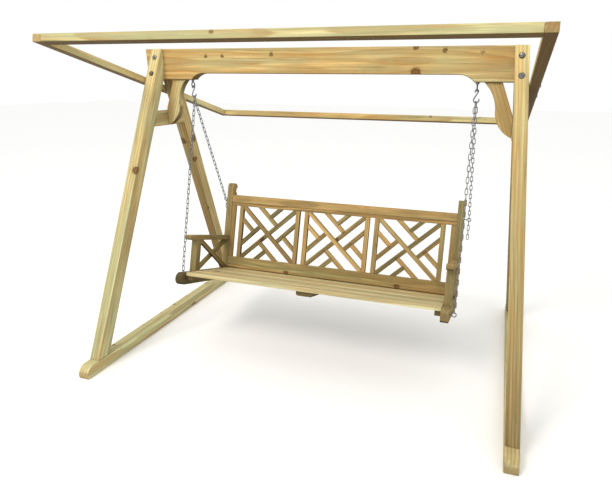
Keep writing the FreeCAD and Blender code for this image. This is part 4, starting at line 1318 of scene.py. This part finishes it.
@dataclass
class Studio:
    """Pale floor, soft light and the camera that was fitted to the photograph.

    The camera's eye is in metres, and its picture centre in pixels from the middle of the photograph, which
    was cropped.
    """

    eye: tuple[float, float, float] = (1.0361, -2.7568, 1.7240)
    yaw_deg: float = -16.7381
    pitch_deg: float = -18.3571
    roll_deg: float = 0.5123
    focal_px: float = 476.125
    centre_px: tuple[float, float] = (49.34, -7.34)
    floor_colour: str = "#fbfbf9"
    floor_roughness: float = 0.9
    floor_half_m: float = 30.0
    floor_drop_mm: float = 0.5
    sky_colour: str = "#ffffff"
    sky_strength: float = 1.0
    lamp_spot: tuple[float, float, float] = (-2.0, -4.5, 6.0)
    lamp_aim: tuple[float, float, float] = (0.0, 0.0, 1.0)
    lamp_side_m: float = 2.5
    lamp_watts: float = 250.0
    lamp_colour: str = "#fff8ee"
    sensor_mm: float = 36.0
    view_m: float = 100.0

    def camera(self) -> bpy.types.Object:
        """Sets the camera.

        Returns:
            The camera object.
        """
        yaw, pitch, roll = (math.radians(a) for a in (self.yaw_deg, self.pitch_deg, self.roll_deg))
        ahead = Vector((math.sin(yaw) * math.cos(pitch), math.cos(yaw) * math.cos(pitch), math.sin(pitch)))
        right = Vector((math.cos(yaw), -math.sin(yaw), 0))
        up = right.cross(ahead)
        right, up = (right * math.cos(roll) + up * math.sin(roll),
                     up * math.cos(roll) - right * math.sin(roll))
        data = bpy.data.cameras.new("photo_camera")
        data.sensor_fit = "HORIZONTAL"
        data.sensor_width = self.sensor_mm
        data.lens = self.focal_px * data.sensor_width / PHOTO_WIDTH
        data.shift_x = -self.centre_px[0] / PHOTO_WIDTH
        data.shift_y = self.centre_px[1] / PHOTO_WIDTH
        data.clip_end = self.view_m
        camera = bpy.data.objects.new("photo_camera", data)
        turn = Matrix((right, up, -ahead)).transposed().to_4x4()
        camera.matrix_world = Matrix.Translation(Vector(self.eye)) @ turn
        bpy.context.scene.collection.objects.link(camera)
        bpy.context.scene.camera = camera
        return camera

    def floor(self) -> bpy.types.Object:
        """Lays the plain floor.

        Returns:
            The floor object.
        """
        bm = bmesh.new()
        bmesh.ops.create_grid(bm, x_segments=1, y_segments=1, size=self.floor_half_m)
        made, tree = empty_material("studio_floor")
        shader = add(tree, "ShaderNodeBsdfPrincipled", {"Base Color": linear(self.floor_colour),
                                                        "Roughness": self.floor_roughness})
        add(tree, "ShaderNodeOutputMaterial", {0: shader[0]})
        floor = mesh_object("studio_floor", bm, made)
        floor.location.z = -self.floor_drop_mm * MM
        return floor

    def light(self) -> None:
        """Sets the pale sky and the one soft lamp, high on the left."""
        scene = bpy.context.scene
        scene.world = scene.world or bpy.data.worlds.new("studio_sky")
        scene.world.use_nodes = True
        tree = scene.world.node_tree
        tree.nodes.clear()
        sky = add(tree, "ShaderNodeBackground", {0: linear(self.sky_colour), 1: self.sky_strength})
        add(tree, "ShaderNodeOutputWorld", {0: sky[0]})
        data = bpy.data.lights.new("key_lamp", "AREA")
        data.shape = "SQUARE"
        data.size = self.lamp_side_m
        data.energy = self.lamp_watts
        data.color = linear(self.lamp_colour)[:3]
        lamp = bpy.data.objects.new("key_lamp", data)
        lamp.location = self.lamp_spot
        aim = Vector(self.lamp_aim) - Vector(self.lamp_spot)
        lamp.rotation_euler = aim.to_track_quat("-Z", "Y").to_euler()
        scene.collection.objects.link(lamp)
        scene.view_settings.view_transform = "Standard"


# each board's warmth, and its shade at its lower, left or front end and at the other
FRAME_LOOKS = {
    "top_beam": (0.75, 1.0, 0.98),
    "canopy_front_rail": (0.05, 0.94, 1.12),
    "canopy_back_rail": (0.75, 1.15, 1.15),
    "canopy_left_rail": (0.5, 1.2, 1.45),
    "canopy_right_rail": (0.75, 0.88, 0.88),
    "left_front_leg": (0.3, 0.92, 1.2),
    "right_front_leg": (0.65, 0.48, 1.25),
    "left_rear_leg": (0.6, 1.05, 1.05),
    "right_rear_leg": (0.6, 0.95, 0.95),
    "left_foot_runner": (0.25, 1.08, 1.0),
    "right_foot_runner": (0.3, 0.9, 0.95),
    "left_knee_brace": (0.7, 1.0, 1.0),
    "right_knee_brace": (0.8, 0.9, 0.9),
    "left_collar": (0.7, 0.95, 0.95),
    "right_collar": (0.6, 0.9, 0.9)}
BENCH_LOOKS = {
    "back_head_strip": (0.95, 1.0, 1.0),
    "back_top_rail": (0.5, 1.2, 1.16),
    "back_end_stiles": (0.6, 1.0, 1.0),
    "back_bottom_rail": (0.35, 1.42, 1.22),
    "left_rear_post": (0.3, 1.0, 1.05),
    "right_rear_post": (0.3, 0.95, 1.0),
    "left_armrest": (0.35, 1.0, 1.0),
    "right_armrest": (0.4, 1.1, 1.0),
    "left_seat_rail": (0.3, 0.38, 0.8),
    "right_seat_rail": (0.3, 0.95, 0.8),
    "seat_cleats": (0.3, 0.6, 0.6),
    "seat_centre_bearer": (0.4, 0.6, 0.6)}
PLAIN_BENCH_LOOK = (0.3, 0.95, 0.95)
FRAME_BOARDS = tuple(FRAME_LOOKS)
BENCH_BOARDS = tuple(BENCH_LOOKS) + tuple(
    f"{word}_{part}" for _, word in SIDES for part in ("arm_post", "rising_cross_bar", "falling_cross_bar"))
FRAME_EASING_MM, BENCH_EASING_MM, SEAT_EASING_MM = 4.0, 2.5, 9.0
SEAT_SPREAD = 0.35
# how light or dark each lattice panel is drawn
LATTICE_BRIGHTNESS = {"left": 0.82, "middle": 1.06, "right": 1.0}


def main() -> None:
    """Loads the frame, builds each sub-assembly in order and sets the scene."""
    logging.basicConfig(level=logging.INFO, format="%(name)s: %(message)s")
    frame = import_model()
    nodes = frame["nodes"]
    zinc = ZINC.material()

    standing = Timber(FRAME_PINE.material(), Body.FRAME, Slot.FRAME_TIMBER, FRAME_EASING_MM, nodes,
                      FRAME_LOOKS)
    for node in FRAME_BOARDS:
        standing.dress(node)
    hung = Timber(BENCH_PINE.material(), Body.SWING, Slot.BENCH_TIMBER, BENCH_EASING_MM, nodes, BENCH_LOOKS,
                  PLAIN_BENCH_LOOK)
    for node in BENCH_BOARDS:
        hung.dress(node)
    seat = Timber(SEAT_PINE.material(), Body.SWING, Slot.BENCH_TIMBER, SEAT_EASING_MM, nodes,
                  spread=SEAT_SPREAD)
    seat.dress("seat_slats")
    bench = Bench()
    lattice = LatticeBack(LATTICE_PINE.material(), bench)
    for word, panel_brightness in LATTICE_BRIGHTNESS.items():
        lattice.build(word, panel_brightness)

    fastenings = Fastenings(zinc, nodes)
    for node in ("leg_bolt_washers", "eye_bolt_washers"):
        fastenings.washers(node)
    for node in ("leg_bolt_nuts", "eye_bolt_nuts"):
        fastenings.nuts(node)
    for node, dia, domed in (("upper_leg_bolts", 10.0, True), ("lower_leg_bolts", 10.0, False),
                             ("foot_bolts", 10.0, False), ("canopy_screws", 8.0, False)):
        fastenings.bolts(node, dia, domed)

    gear = HangingGear(zinc, fastenings)
    links = gear.link_tree()
    for side, word in SIDES:
        gear.beam_eye(side, word)
        gear.hook(side, word)
        for part in ("front_chain", "back_chain", "chain_tail"):
            gear.chain(links, f"{word}_{part}")
    for node in ("seat_eye_bolts", "back_eye_bolts"):
        gear.bench_eyes(node)

    screws = WoodScrews(zinc)
    screws.build("bench_screws", screws.tree(), bench.screws(), Body.SWING)

    studio = Studio()
    studio.camera()
    studio.floor()
    studio.light()


if __name__ == "__main__":
    main()
